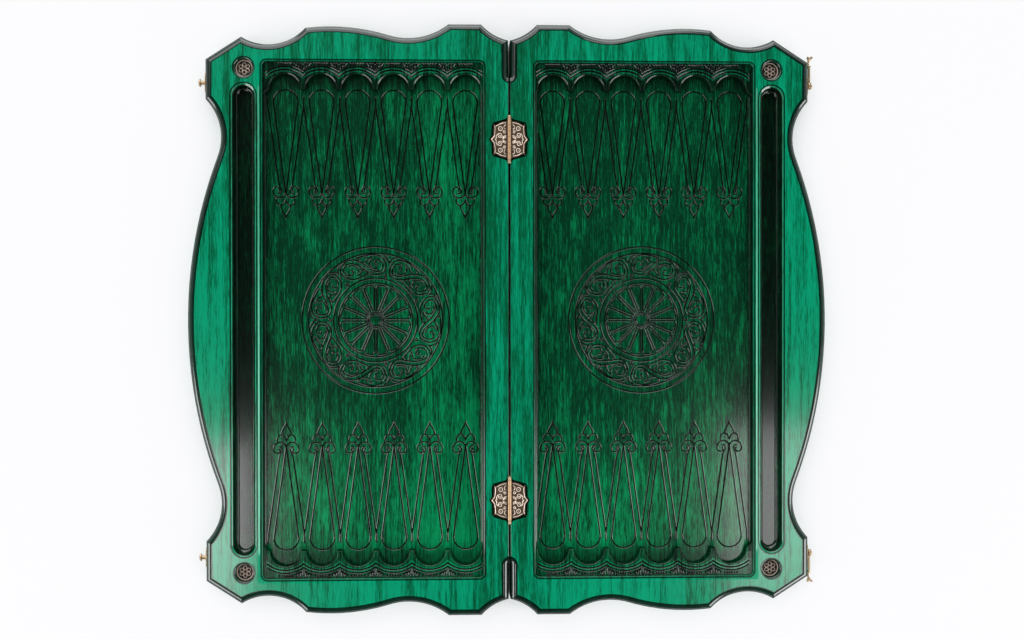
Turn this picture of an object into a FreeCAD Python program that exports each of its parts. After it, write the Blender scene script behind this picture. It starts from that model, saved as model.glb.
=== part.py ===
import FreeCAD, Part
import math
import os
import Sketcher

# Folding backgammon board, laid open and flat with its playing side up.
# Frame: +X across the two halves, +Y along the hinge line, +Z up, in millimetres.
# The origin is on the table, under the middle of the hinge line.
# The right half is modelled; the left half and the lower hardware are its mirror images.

DOC = FreeCAD.newDocument("backgammon_board")
SHEET = DOC.addObject("Spreadsheet::Sheet", "sizes")
TINY = 0.001
PARTS = {}


class Size:
    """A number kept in the sheet, or a sum or product of such numbers, with its present value."""

    def __init__(self, text, number):
        self.text = text
        self.number = number

    def joined(self, sign, other, number):
        return Size("(" + self.text + sign + as_size(other).text + ")", number)

    def __add__(self, other):
        return self.joined(" + ", other, self.number + as_size(other).number)

    def __sub__(self, other):
        return self.joined(" - ", other, self.number - as_size(other).number)

    def __mul__(self, other):
        return self.joined(" * ", other, self.number * as_size(other).number)

    def __truediv__(self, other):
        return self.joined(" / ", other, self.number / as_size(other).number)

    def __neg__(self):
        return Size("(-1 * " + self.text + ")", -self.number)


def as_size(value):
    if isinstance(value, Size):
        return value
    return Size(str(value), value)


def size(name, value, note):
    """Writes one driving dimension to the next row of the sheet and gives it its alias."""
    row = str(size.next_row)
    size.next_row += 1
    SHEET.set("A" + row, name)
    SHEET.set("B" + row, str(value))
    SHEET.set("C" + row, note)
    SHEET.setAlias("B" + row, name)
    return Size("sizes." + name, value)


size.next_row = 1
NOTHING = as_size(0)

# Outline of one half, measured outward from the hinge line and along it
thickness = size("half_thickness", 28, "wood of one half, table to rim")
seam_gap = size("seam_half_gap", 1, "hinge line to the wood's hinge edge")
seam_corner_y = size("seam_corner_y", 284, "end of the hinge edge")
brow_start_x = size("brow_start_x", 28.3, "start of the level brow at each end")
brow_end_x = size("brow_end_x", 61.7, "end of the level brow")
brow_y = size("brow_y", 300, "half of the board's length")
long_dip_radius = size("long_dip_radius", 66.4, "hollow beside the brow")
wave_turn_x = size("wave_turn_x", 121.7, "where the hollow turns into the crest")
crest_radius = size("crest_radius", 203.9, "round crest of each end")
crest_end_x = size("crest_end_x", 206, "outer point of the crest")
crest_end_y = size("crest_end_y", 295.4, "outer point of the crest")
short_dip_radius = size("short_dip_radius", 51, "two short hollows of each end")
ear_x = size("ear_x", 270.5, "point between the short hollow and the cut corner")
ear_y = size("ear_y", 286, "point between the short hollow and the cut corner")
side_x = size("side_x", 306, "straight stretch of the outer side")
side_corner_y = size("side_corner_y", 263, "outer end of the straight stretch")
side_end_y = size("side_end_y", 223, "inner end of the straight stretch")
neck_radius = size("neck_radius", 55.1, "neck of the outer side")
neck_turn_y = size("neck_turn_y", 165.4, "where the neck turns into the belly")
belly_radius = size("belly_radius", 470.8, "long round belly of the outer side")

# Moulded edge round each half
edge_band = size("edge_band", 7, "width of the moulded edge")
edge_round = size("edge_round", 6, "quarter round of the moulded edge")
edge_step = size("edge_step", 0.9, "step between the quarter round and the rim")
back_round = size("back_round", 2, "round of the back's outer edge")
hinge_edge_round = size("hinge_edge_round", 0.6, "eased upper edge along the hinge line")
runout_y = size("runout_y", 248.0, "where the moulding leaves the hinge edge")
cutter_core = size("cutter_core", 1.4, "inner radius of the moulding's run-out")

# Playing field
field_inner_x = size("field_inner_x", 23.9, "field opening on the hinge side")
field_outer_x = size("field_outer_x", 251.2, "field opening on the trough side")
field_end_y = size("field_end_y", 263.2, "field opening at each end")
field_corner = size("field_corner_radius", 7, "corners of the field opening")
lip_step = size("lip_step", 0.7, "step at the top of each recess")
lip_flat = size("lip_flat", 0.9, "flat of that step")
field_round = size("field_round", 2, "round below the step, field")
shelf_depth = size("shelf_depth", 3, "carved border below the rim")
field_depth = size("field_depth", 12, "field floor below the rim")
floor_round = size("floor_round", 2.5, "round between the side walls and the field floor")
arch_count = 6
arch_first_x = size("arch_first_x", 44.5, "middle of the arch nearest the hinge line")
arch_pitch = size("arch_pitch", 36.4, "spacing of the arches")
arch_radius = size("arch_radius", 15.7, "arch over each point, for 30 mm checkers")
arch_y = size("arch_y", 233.2, "centre line of the arches")
arch_slope = size("arch_slope", 5.5, "fall of the half cusp beside each side wall")
arch_round = size("arch_round", 1.2, "round of the arches' upper edge")

# Checker trough
trough_x = size("trough_x", 267.6, "middle line of the trough")
trough_opening = size("trough_opening", 27.9, "width of the trough at the rim")
trough_end_y = size("trough_end_y", 239.9, "round end of the trough at the rim")
trough_round = size("trough_round", 2.4, "round below the step, trough")
trough_depth = size("trough_depth", 14, "trough floor below the rim")
trough_floor_round = size("trough_floor_round", 4.5, "round along the trough floor")

# Medals sunk beyond each end of the trough
medal_x = size("medal_x", 267.4, "medal centre")
medal_y = size("medal_y", 254.3, "medal centre")
medal_radius = size("medal_radius", 8.7, "brass disc")
medal_thickness = size("medal_thickness", 1.6, "brass disc")
medal_ring = size("medal_ring", 1.1, "width of the raised ring round the disc")
medal_ring_rise = size("medal_ring_rise", 0.5, "height of the raised ring")
medal_clearance = size("medal_clearance", 0.1, "disc to bore")
medal_round = size("medal_round", 1.8, "round below the step, medal hole")
medal_depth = size("medal_depth", 9, "bottom of the medal hole below the rim")

# Glue lines between the staves
stave_width = size("stave_width", 91, "width of one glued stave")
right_seam_x = size("right_first_seam_x", 62.5, "first glue line of the right half")
left_seam_x = size("left_first_seam_x", 44.5, "first glue line of the left half")

# Hinges
hinge_y = size("hinge_y", 182.8, "middle of each hinge")
axis_lift = size("axis_lift", 0.15, "hinge axis above the rim")
pin_radius = size("pin_radius", 1.2, "hinge pin")
pin_fit = size("pin_fit", 0.05, "radial clearance of pin and knuckles")
knuckle_radius = size("knuckle_radius", 2.1, "outside of the knuckles")
knuckle_count = 7
knuckle_gap = size("knuckle_gap", 0.3, "between neighbouring knuckles")
barrel_length = size("barrel_length", 40.2, "all seven knuckles")
barrel_room = size("barrel_room", 0.4, "groove in the wood round the knuckles")
finial_radius = size("finial_radius", 1.75, "ball at each end of the pin")
finial_neck = size("finial_neck", 0.8, "collar between knuckle and ball")
finial_collar = size("finial_collar_radius", 1.55, "collar between knuckle and ball")
finial_gap = size("finial_gap", 0.2, "end knuckle to collar")
leaf_thickness = size("leaf_thickness", 1.5, "brass leaf")
leaf_seat = size("leaf_seat", 1.7, "depth of the leaf's pocket")
leaf_root_x = size("leaf_root_x", 0.6, "leaf's inner edge, inside the barrel")
leaf_top_y = size("leaf_top_y", 18.4, "leaf's end beside the barrel")
leaf_arch = size("leaf_arch_radius", 16, "round end edge of the leaf")
spur_root_x = size("spur_root_x", 13.9, "inner foot of the corner spur")
spur_root_y = size("spur_root_y", 13.8, "inner foot of the corner spur")
spur_x = size("spur_x", 16.2, "tip of the corner spur")
spur_y = size("spur_y", 15.9, "tip of the corner spur")
spur_foot_x = size("spur_foot_x", 15.6, "outer foot of the corner spur")
spur_foot_y = size("spur_foot_y", 12.6, "outer foot of the corner spur")
leaf_side_x = size("leaf_side_x", 16.3, "outer edge beside the diamond")
diamond_y = size("diamond_y", 3.8, "half height of the diamond")
diamond_x = size("diamond_x", 19.4, "tip of the diamond")
leaf_margin = size("leaf_margin", 1.3, "leaf to the edge of its pocket")
throat_x = size("throat_x", 4.3, "pocket width where it narrows to the barrel")
throat_radius = size("throat_radius", 9, "hollow curve to the pocket's point")
pocket_tail = size("pocket_tail", 1.9, "pin's end to the pocket's point")
screw_x = size("screw_x", 9, "screw from the hinge line")
screw_y = size("screw_y", 11, "screw from the hinge's middle")
screw_radius = size("screw_radius", 1.1, "shank of the leaf screws")
screw_head = size("screw_head_radius", 2.3, "countersunk head")
screw_length = size("screw_length", 11, "leaf screw, head to point")
screw_slot = size("screw_slot", 0.7, "width of the cross recess")
screw_slot_depth = size("screw_slot_depth", 0.6, "depth of the cross recess")
screw_point = size("screw_point", 2, "length of the screw's point")
fastener_fit = size("fastener_fit", 0.05, "radial clearance of shanks in wood and brass")

# Hook catches on the outer sides
latch_y = size("latch_y", 240, "hook pivot and stud from the middle")
latch_span = size("latch_span", 23, "pivot to stud when the board is shut")
plate_length = size("plate_length", 20, "base plate along the side")
plate_height = size("plate_height", 8, "base plate across the side")
plate_thickness = size("plate_thickness", 1, "base plate")
nail_offset = size("nail_offset", 7.3, "nail from the middle of its plate")
nail_radius = size("nail_radius", 0.6, "shank of the plate nails")
nail_head = size("nail_head_radius", 1.5, "head of the plate nails")
nail_rise = size("nail_head_rise", 0.6, "height of the nail head")
nail_length = size("nail_length", 7, "shank under the head")
shank_radius = size("shank_radius", 1.25, "shank of rivet and stud")
shank_depth = size("shank_depth", 8, "shank in the wood")
collar_radius = size("collar_radius", 2.6, "collar of the rivet")
collar_height = size("collar_height", 0.7, "collar of the rivet, flange of the stud")
hook_gap = size("hook_gap", 0.3, "hook to collar and to head")
hook_fit = size("hook_fit", 0.06, "radial clearance of rivet and hook")
hook_thickness = size("hook_thickness", 1.6, "hook's strip")
hook_eye = size("hook_eye_radius", 3.6, "round the rivet")
hook_width = size("hook_width", 4.4, "strip between eye and catch")
catch_wall = size("catch_wall", 2.65, "brass round the notch")
catch_fit = size("catch_fit", 0.45, "stud neck in the notch")
rivet_head = size("rivet_head_radius", 3.8, "domed head")
rivet_rise = size("rivet_head_rise", 2.4, "domed head")
stud_flange = size("stud_flange_radius", 3.2, "flange against the plate")
stud_neck = size("stud_neck_radius", 2.1, "neck that the hook takes")
stud_neck_length = size("stud_neck_length", 4, "flange to head")
stud_head = size("stud_head_radius", 4, "stud's head")
stud_head_edge = size("stud_head_edge", 1, "straight edge of the head")
stud_head_rise = size("stud_head_rise", 1.5, "dome of the head")
tab_start = size("tab_start", 26, "thumb tab begins, from the pivot")
tab_length = size("tab_length", 4.4, "thumb tab")
tab_spread = size("tab_spread", 6.2, "width over the fork")
tab_inset = size("tab_inset", 1.6, "fork towards the board, from the strip")
tab_thickness = size("tab_thickness", 2, "thumb tab")
DOC.recompute()

# Places that several pieces share
rim_z = thickness
axis_z = thickness + axis_lift
lip_z = rim_z - lip_step
shelf_z = rim_z - shelf_depth
floor_z = rim_z - field_depth
trough_floor_z = rim_z - trough_depth
wall_inset = lip_flat + field_round
wall_inner_x = field_inner_x + wall_inset
wall_outer_x = field_outer_x - wall_inset
wall_end_y = field_end_y - wall_inset
trough_half = trough_opening / 2 - lip_flat - trough_round
trough_wall_end_y = trough_end_y - lip_flat - trough_round
medal_bore = medal_radius + medal_clearance
medal_opening = medal_bore + medal_round + lip_flat
leaf_z = rim_z - leaf_seat
leaf_top_z = leaf_z + leaf_thickness
knuckle_length = (barrel_length + knuckle_gap) / knuckle_count - knuckle_gap
knuckle_pitch = knuckle_length + knuckle_gap
pin_half = barrel_length / 2 + finial_gap + finial_neck + finial_radius * 2
latch_z = axis_z - latch_span / 2
plate_x = side_x + plate_thickness
hook_x = plate_x + collar_height + hook_gap
notch_radius = stud_neck + catch_fit


class Corner:
    """A corner of a sketch outline and the bend of the edge that leaves it.

    bend is None for a straight edge, "half" for a half circle, or (radius, side), where side says
    on which hand of the path the arc's centre lies. A smooth corner is tangent, and only its
    coordinate named by smooth is set.
    """

    def __init__(self, x, y, bend=None, smooth=None):
        self.place = (as_size(x), as_size(y))
        self.bend = bend
        self.smooth = smooth

    def point(self):
        return (self.place[0].number, self.place[1].number)

    def moved(self, shift_x, shift_y):
        return Corner(self.place[0] + shift_x, self.place[1] + shift_y, self.bend, self.smooth)


def completed(upper, tip=None):
    """Adds the mirror image, below the middle line, of the upper corners of an outline."""
    corners = list(upper)
    if tip is not None:
        corners.append(Corner(tip.place[0], tip.place[1], upper[-1].bend))
    for index in range(len(upper) - 1, -1, -1):
        corner = upper[index]
        bend = upper[index - 1].bend if index > 0 else None
        corners.append(Corner(corner.place[0], -corner.place[1], bend, corner.smooth))
    return corners


def arc_centre(start, end, radius, side):
    """Centre of the arc under half a circle that joins two points."""
    run = (end[0] - start[0], end[1] - start[1])
    chord = math.hypot(*run)
    rise = math.sqrt(max(radius ** 2 - (chord / 2) ** 2, 0))
    if side == "right":
        rise = -rise
    middle = ((start[0] + end[0]) / 2, (start[1] + end[1]) / 2)
    return (middle[0] - rise * run[1] / chord, middle[1] + rise * run[0] / chord)


def miss_of_tangent(before, spot, after, first_bend, second_bend):
    """How far the arcs before and after a spot are from having one tangent there."""
    first = arc_centre(before, spot, first_bend[0].number, first_bend[1])
    second = arc_centre(spot, after, second_bend[0].number, second_bend[1])
    return ((first[0] - spot[0]) * (second[1] - spot[1])
            - (first[1] - spot[1]) * (second[0] - spot[0]))


def settled(upper):
    """Starts each smooth corner of an upper outline where its two arcs are tangent."""
    for index, corner in enumerate(upper):
        if corner.smooth is None:
            continue
        before = upper[index - 1]
        free = 1 if corner.smooth == "x" else 0

        def miss(value):
            spot = list(corner.point())
            spot[free] = value
            after = (spot[0], -spot[1])
            if index + 1 < len(upper):
                after = upper[index + 1].point()
            return miss_of_tangent(before.point(), spot, after, before.bend, corner.bend)

        last = corner.point()[free]
        value = last + 1
        for _ in range(60):
            rise = miss(value) - miss(last)
            if abs(rise) < 1e-12:
                break
            last, value = value, value - miss(value) * (value - last) / rise
        place = list(corner.place)
        place[free] = as_size(value)
        corner.place = tuple(place)
    return upper


def add_edge(sketch, start, end, bend):
    """Draws one edge; returns its number and the ends that lie at start and end."""
    if bend is None:
        line = Part.LineSegment(FreeCAD.Vector(*start, 0), FreeCAD.Vector(*end, 0))
        return (sketch.addGeometry(line, False), 1, 2)
    if bend[0] == "half":
        radius = math.dist(start, end) / 2
    else:
        radius = bend[0].number
    side = bend[1]
    centre = arc_centre(start, end, radius, side)
    angles = [math.atan2(p[1] - centre[1], p[0] - centre[0]) for p in (start, end)]
    circle = Part.Circle(FreeCAD.Vector(*centre, 0), FreeCAD.Vector(0, 0, 1), radius)
    if side == "left":
        return (sketch.addGeometry(Part.ArcOfCircle(circle, angles[0], angles[1]), False), 1, 2)
    return (sketch.addGeometry(Part.ArcOfCircle(circle, angles[1], angles[0]), False), 2, 1)


def constrain(sketch, kind, items, value):
    """Adds one dimension to a sketch and ties it to the sheet."""
    index = sketch.addConstraint(Sketcher.Constraint(kind, *items, value.number))
    name = "d" + str(index)
    sketch.renameConstraint(index, name)
    sketch.setExpression("Constraints." + name, value.text)


def draw_outline(sketch, corners):
    """Draws a closed outline with every corner and radius tied to the sheet."""
    count = len(corners)
    edges = []
    for index, corner in enumerate(corners):
        after = corners[(index + 1) % count]
        edges.append(add_edge(sketch, corner.point(), after.point(), corner.bend))
    for index, corner in enumerate(corners):
        before, here = edges[index - 1], edges[index]
        kind = "Tangent" if corner.smooth else "Coincident"
        sketch.addConstraint(Sketcher.Constraint(kind, before[0], before[2], here[0], here[1]))
        for axis, word in enumerate(("DistanceX", "DistanceY")):
            if corner.smooth in (None, "xy"[axis]):
                constrain(sketch, word, (-1, 1, here[0], here[1]), corner.place[axis])
        if corner.bend is None:
            continue
        if corner.bend[0] == "half":
            start, end = corner.point(), corners[(index + 1) % count].point()
            level = 1 if abs(end[0] - start[0]) > abs(end[1] - start[1]) else 0
            word = ("DistanceX", "DistanceY")[level]
            constrain(sketch, word, (-1, 1, here[0], 3), corner.place[level])
        else:
            constrain(sketch, "Radius", (here[0],), corner.bend[0])


def draw_circle(sketch, x, y, radius):
    centre = FreeCAD.Vector(as_size(x).number, as_size(y).number, 0)
    circle = Part.Circle(centre, FreeCAD.Vector(0, 0, 1), radius.number)
    index = sketch.addGeometry(circle, False)
    constrain(sketch, "DistanceX", (-1, 1, index, 3), as_size(x))
    constrain(sketch, "DistanceY", (-1, 1, index, 3), as_size(y))
    constrain(sketch, "Radius", (index,), radius)


def rectangle(x_low, x_high, y_low, y_high):
    return [Corner(x_low, y_low), Corner(x_high, y_low), Corner(x_high, y_high), Corner(x_low, y_high)]


def rounded_rectangle(x_low, x_high, y_high, radius):
    """A rectangle with round corners, the same above and below the middle line."""
    bend = (radius, "right")
    upper = [
        Corner(x_low, y_high - radius, bend),
        Corner(x_low + radius, y_high),
        Corner(x_high - radius, y_high, bend),
        Corner(x_high, y_high - radius),
    ]
    return completed(upper)


def long_hole(x_middle, half_width, y_end):
    """A slot with half round ends."""
    upper = [
        Corner(x_middle - half_width, y_end - half_width, ("half", "right")),
        Corner(x_middle + half_width, y_end - half_width),
    ]
    return completed(upper)


def new_body(name):
    return DOC.addObject("PartDesign::Body", name)


def new_sketch(body, name, role, offsets=None):
    """A sketch on one of the body's own planes, moved along that plane's axes by the offsets."""
    sketch = body.newObject("Sketcher::SketchObject", name)
    plane = [feature for feature in body.Origin.OriginFeatures if feature.Role == role][0]
    sketch.AttachmentSupport = [(plane, "")]
    sketch.MapMode = "FlatFace"
    for axis, offset in (offsets or {}).items():
        sketch.setExpression("AttachmentOffset.Base." + axis, offset.text)
    return sketch


def body_axis(body, role):
    return [feature for feature in body.Origin.OriginFeatures if feature.Role == role][0]


def body_volume(body):
    return body.Shape.Volume if body.Tip is not None else 0.0


def add_feature(body, kind, name, sketch, settings):
    """Adds a sketched feature and checks that it put material on or took material off."""
    before = body_volume(body)
    feature = body.newObject("PartDesign::" + kind, name)
    feature.Profile = sketch
    for key, value in settings.items():
        if isinstance(value, Size):
            feature.setExpression(key, value.text)
        else:
            setattr(feature, key, value)
    sketch.Visibility = False
    DOC.recompute()
    change = body_volume(body) - before
    adds = kind in ("Pad", "Revolution")
    if (change <= TINY and adds) or (change >= -TINY and not adds):
        raise RuntimeError(name + " changed the volume by " + str(change))
    return feature


def pad(body, name, sketch, length, **settings):
    return add_feature(body, "Pad", name, sketch, {"Length": length, **settings})


def pocket(body, name, sketch, depth, **settings):
    return add_feature(body, "Pocket", name, sketch, {"Length": depth, **settings})


def level_edges(shape, level, inside):
    """Names of the edges that lie at one height and whose ends all pass the inside test."""
    names = []
    for number, edge in enumerate(shape.Edges, start=1):
        box = edge.BoundBox
        flat = abs(box.ZMin - level) < TINY and abs(box.ZMax - level) < TINY
        if flat and all(inside(vertex.Point) for vertex in edge.Vertexes):
            names.append("Edge" + str(number))
    return names


def round_edges(body, name, radius, level, inside, kind="Fillet"):
    """Rounds, or chamfers, the body's edges at one height."""
    base = body.Tip
    names = level_edges(base.Shape, level.number, inside)
    if not names:
        raise RuntimeError(name + " found no edge")
    feature = body.newObject("PartDesign::" + kind, name)
    feature.Base = (base, names)
    feature.setExpression("Radius" if kind == "Fillet" else "Size", radius.text)
    DOC.recompute()
    if not feature.Shape.isValid():
        raise RuntimeError(name + " is not a sound solid")
    return feature


def place(item, x, y, z, rotation=None):
    """Puts a body at a place tied to the sheet."""
    if rotation is not None:
        item.Placement = FreeCAD.Placement(FreeCAD.Vector(0, 0, 0), rotation)
    for axis, value in (("x", x), ("y", y), ("z", z)):
        item.setExpression("Placement.Base." + axis, as_size(value).text)


def keep(name, item):
    """Names a finished piece; the name is also its file's."""
    item.Label = name
    PARTS[name] = item
    return item


def mirrored(name, source, normal):
    image = DOC.addObject("Part::Mirroring", name)
    image.Source = source
    image.Normal = normal
    return image


ACROSS = FreeCAD.Vector(1, 0, 0)
ALONG = FreeCAD.Vector(0, 1, 0)


def turned(name, profile):
    """A piece turned about its own X axis from corners given as (along, out from the axis)."""
    body = new_body(name)
    sketch = new_sketch(body, name + "_profile", "XY_Plane")
    draw_outline(sketch, profile)
    settings = {"ReferenceAxis": (body_axis(body, "X_Axis"), [""]), "Angle": 360.0}
    add_feature(body, "Revolution", name + "_turning", sketch, settings)
    return body


def half_outline():
    """Outline of one half from its hinge edge round to the belly and back."""
    short_dip = (short_dip_radius, "left")
    upper = [
        Corner(seam_gap, seam_corner_y, short_dip),
        Corner(brow_start_x, brow_y),
        Corner(brow_end_x, brow_y, (long_dip_radius, "left")),
        Corner(wave_turn_x, crest_end_y - edge_band, (crest_radius, "right"), "x"),
        Corner(crest_end_x, crest_end_y, short_dip),
        Corner(ear_x, ear_y),
        Corner(side_x, side_corner_y),
        Corner(side_x, side_end_y, (neck_radius, "left")),
        Corner(side_x - edge_band - edge_round, neck_turn_y, (belly_radius, "right"), "y"),
    ]
    return completed(settled(upper))


def field_outline():
    """Floor of the playing field, with six arches at each end and a half cusp at each side."""
    slope_y = arch_y - arch_slope
    upper = [Corner(wall_inner_x, slope_y)]
    for index in range(arch_count):
        middle = arch_first_x + arch_pitch * index
        upper.append(Corner(middle - arch_radius, arch_y, ("half", "right")))
        upper.append(Corner(middle + arch_radius, arch_y))
    upper.append(Corner(wall_outer_x, slope_y))
    return completed(upper)


def make_blank():
    """The outside of one half: slab, moulded edge, rim and the moulding's run-out at the hinge."""
    body = new_body("half_blank")
    outline = new_sketch(body, "blank_outline", "XY_Plane")
    draw_outline(outline, half_outline())
    slab_z = rim_z - edge_step
    pad(body, "blank_slab", outline, slab_z)
    round_edges(body, "edge_moulding", edge_round, slab_z, lambda point: True)
    hinge_side = seam_gap.number + TINY
    round_edges(body, "back_edge", back_round, NOTHING, lambda point: point.x > hinge_side)

    inner = body.newObject("PartDesign::SubShapeBinder", "rim_outline")
    inner.Support = [(outline, ("",))]
    inner.setExpression("Offset", (-edge_band).text)
    inner.OffsetJoinType = "Intersection"
    pad(body, "rim", inner, rim_z)

    flank = new_sketch(body, "hinge_flank_outline", "XY_Plane")
    draw_outline(flank, rectangle(seam_gap, seam_gap + edge_band + edge_step, -runout_y, runout_y))
    pad(body, "hinge_flank", flank, rim_z)
    for word, end_y, reverse in (("upper", runout_y, True), ("lower", -runout_y, False)):
        make_runout(body, word, end_y, reverse)

    def on_hinge_edge(point):
        return point.x < hinge_side and abs(point.y) < runout_y.number

    round_edges(body, "hinge_edge", hinge_edge_round, rim_z, on_hinge_edge)
    return body


def make_runout(body, word, end_y, reverse):
    """Where the moulding's cutter left the hinge edge: half of its round shape."""
    offsets = {"x": seam_gap - cutter_core, "z": -end_y}
    sketch = new_sketch(body, word + "_runout_profile", "XZ_Plane", offsets)
    start_z = rim_z - edge_step - edge_round
    profile = [
        Corner(0, start_z),
        Corner(cutter_core, start_z, (edge_round, "right")),
        Corner(cutter_core + edge_round, start_z + edge_round),
        Corner(cutter_core + edge_band, start_z + edge_round),
        Corner(cutter_core + edge_band, rim_z + edge_step),
        Corner(0, rim_z + edge_step),
    ]
    draw_outline(sketch, profile)
    settings = {"ReferenceAxis": (sketch, ["V_Axis"]), "Angle": 180.0, "Reversed": reverse}
    add_feature(body, "Groove", word + "_runout", sketch, settings)


def cut_field(body):
    """The field: stepped lip, carved border shelf, and the floor with its arches."""
    opening = new_sketch(body, "field_opening", "XY_Plane", {"z": rim_z})
    draw_outline(opening, rounded_rectangle(field_inner_x, field_outer_x, field_end_y, field_corner))
    pocket(body, "field_step", opening, lip_step)
    shelf = new_sketch(body, "shelf_outline", "XY_Plane", {"z": rim_z})
    corner = field_corner - wall_inset
    draw_outline(shelf, rounded_rectangle(wall_inner_x, wall_outer_x, wall_end_y, corner))
    pocket(body, "border_shelf", shelf, shelf_depth)
    floor = new_sketch(body, "field_floor_outline", "XY_Plane", {"z": rim_z})
    draw_outline(floor, field_outline())
    pocket(body, "field_floor", floor, field_depth)

    low_x, high_x = wall_inner_x.number - TINY, wall_outer_x.number + TINY
    end = wall_end_y.number + TINY
    arch_end = arch_y.number + TINY
    slope_start = arch_y.number - arch_slope.number - TINY

    def on_walls(point):
        return low_x < point.x < high_x and abs(point.y) < end

    def on_sides(point):
        return low_x < point.x < high_x and abs(point.y) < slope_start + TINY * 2

    def on_arches(point):
        return low_x < point.x < high_x and slope_start < abs(point.y) < arch_end

    round_edges(body, "arch_edges", arch_round, shelf_z, on_arches)
    round_edges(body, "field_lip", field_round, lip_z, on_walls)
    round_edges(body, "field_floor_edges", floor_round, floor_z, on_sides)


def cut_trough(body):
    """The checker trough beside the field."""
    opening = new_sketch(body, "trough_opening_outline", "XY_Plane", {"z": rim_z})
    draw_outline(opening, long_hole(trough_x, trough_opening / 2, trough_end_y))
    pocket(body, "trough_step", opening, lip_step)
    channel = new_sketch(body, "trough_outline", "XY_Plane", {"z": rim_z})
    draw_outline(channel, long_hole(trough_x, trough_half, trough_wall_end_y))
    pocket(body, "trough_channel", channel, trough_depth)
    reach = trough_half.number + TINY
    end = trough_wall_end_y.number + TINY

    def in_trough(point):
        return abs(point.x - trough_x.number) < reach and abs(point.y) < end

    round_edges(body, "trough_lip", trough_round, lip_z, in_trough)
    round_edges(body, "trough_floor_edges", trough_floor_round, trough_floor_z, in_trough)


def cut_medal_holes(body):
    """A stepped, rounded hole for the medal beyond each end of the trough."""
    opening = new_sketch(body, "medal_openings", "XY_Plane", {"z": rim_z})
    bores = new_sketch(body, "medal_bores", "XY_Plane", {"z": rim_z})
    for sign in (1, -1):
        draw_circle(opening, medal_x, medal_y * sign, medal_opening)
        draw_circle(bores, medal_x, medal_y * sign, medal_bore)
    pocket(body, "medal_step", opening, lip_step)
    pocket(body, "medal_holes", bores, medal_depth)
    reach = medal_bore.number + TINY

    def on_bore(point):
        return math.hypot(point.x - medal_x.number, abs(point.y) - medal_y.number) < reach

    round_edges(body, "medal_lips", medal_round, lip_z, on_bore)


def leaf_pocket_outline():
    """Pocket of one leaf, from the hinge line outward, with points along the hinge line."""
    upper = [
        Corner(0, pin_half + pocket_tail, (throat_radius, "left")),
        Corner(throat_x, leaf_top_y + leaf_margin * 1.7),
        Corner(spur_x + leaf_margin * 0.3, spur_y + leaf_margin * 0.9),
        Corner(spur_x + leaf_margin * 1.5, spur_y - leaf_margin * 1.7),
        Corner(leaf_side_x + leaf_margin * 1.5, diamond_y),
    ]
    return completed(upper, Corner(diamond_x + leaf_margin, 0))


def cut_hinge_seats(body):
    """Leaf pockets, the groove for the barrels, and the screw holes, for both hinges."""
    seats = new_sketch(body, "leaf_pockets", "XY_Plane", {"z": rim_z})
    groove = new_sketch(body, "barrel_groove_profile", "YZ_Plane", {"y": axis_z})
    holes = new_sketch(body, "leaf_screw_holes", "XY_Plane", {"z": leaf_z})
    room = knuckle_radius + barrel_room
    straight = pin_half - finial_radius
    for sign in (1, -1):
        middle = hinge_y * sign
        draw_outline(seats, [corner.moved(0, middle) for corner in leaf_pocket_outline()])
        draw_outline(groove, [
            Corner(middle - pin_half - pocket_tail, 0),
            Corner(middle - straight, room),
            Corner(middle + straight, room),
            Corner(middle + pin_half + pocket_tail, 0),
        ])
        for side in (1, -1):
            draw_circle(holes, screw_x, middle + screw_y * side, screw_radius + fastener_fit)
    pocket(body, "leaf_seats", seats, leaf_seat)
    settings = {"ReferenceAxis": (groove, ["H_Axis"]), "Angle": 360.0}
    add_feature(body, "Groove", "barrel_groove", groove, settings)
    pocket(body, "leaf_screw_bores", holes, screw_length)


def cut_catch_holes(body):
    """Holes in the outer side for the shanks and nails of the catches."""
    shanks = new_sketch(body, "catch_shank_holes", "YZ_Plane", {"z": side_x})
    nails = new_sketch(body, "catch_nail_holes", "YZ_Plane", {"z": side_x})
    for sign in (1, -1):
        middle = latch_y * sign
        draw_circle(shanks, middle, latch_z, shank_radius + fastener_fit)
        for side in (1, -1):
            draw_circle(nails, middle + nail_offset * side, latch_z, nail_radius + fastener_fit)
    pocket(body, "catch_shank_bores", shanks, shank_depth)
    pocket(body, "catch_nail_bores", nails, nail_length)


def make_staves(blank, side, first_seam, sign):
    """Cuts a half into the four staves that it is glued up from."""
    seams = [first_seam + stave_width * index for index in range(3)]
    edges = [NOTHING] + seams + [seams[-1] + stave_width * 2]
    names = ("hinge_stave", "inner_stave", "outer_stave", "trough_stave")
    for index, word in enumerate(names):
        name = side + "_" + word
        low, high = edges[index], edges[index + 1]
        slab = DOC.addObject("Part::Box", name + "_slab")
        slab.setExpression("Length", (high - low).text)
        slab.setExpression("Width", (brow_y * 4).text)
        slab.setExpression("Height", (thickness * 2).text)
        place(slab, low if sign > 0 else -high, -(brow_y * 2), -(thickness / 2))
        stave = DOC.addObject("Part::MultiCommon", name)
        stave.Shapes = [blank, slab]
        keep(name, stave)


def leaf_outline():
    """One leaf: round ends, a spur at each corner and a diamond on the outer edge."""
    upper = [
        Corner(leaf_root_x, leaf_top_y, (leaf_arch, "right")),
        Corner(spur_root_x, spur_root_y),
        Corner(spur_x, spur_y),
        Corner(spur_foot_x, spur_foot_y),
        Corner(leaf_side_x, diamond_y),
    ]
    return completed(upper, Corner(diamond_x, 0))


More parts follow.
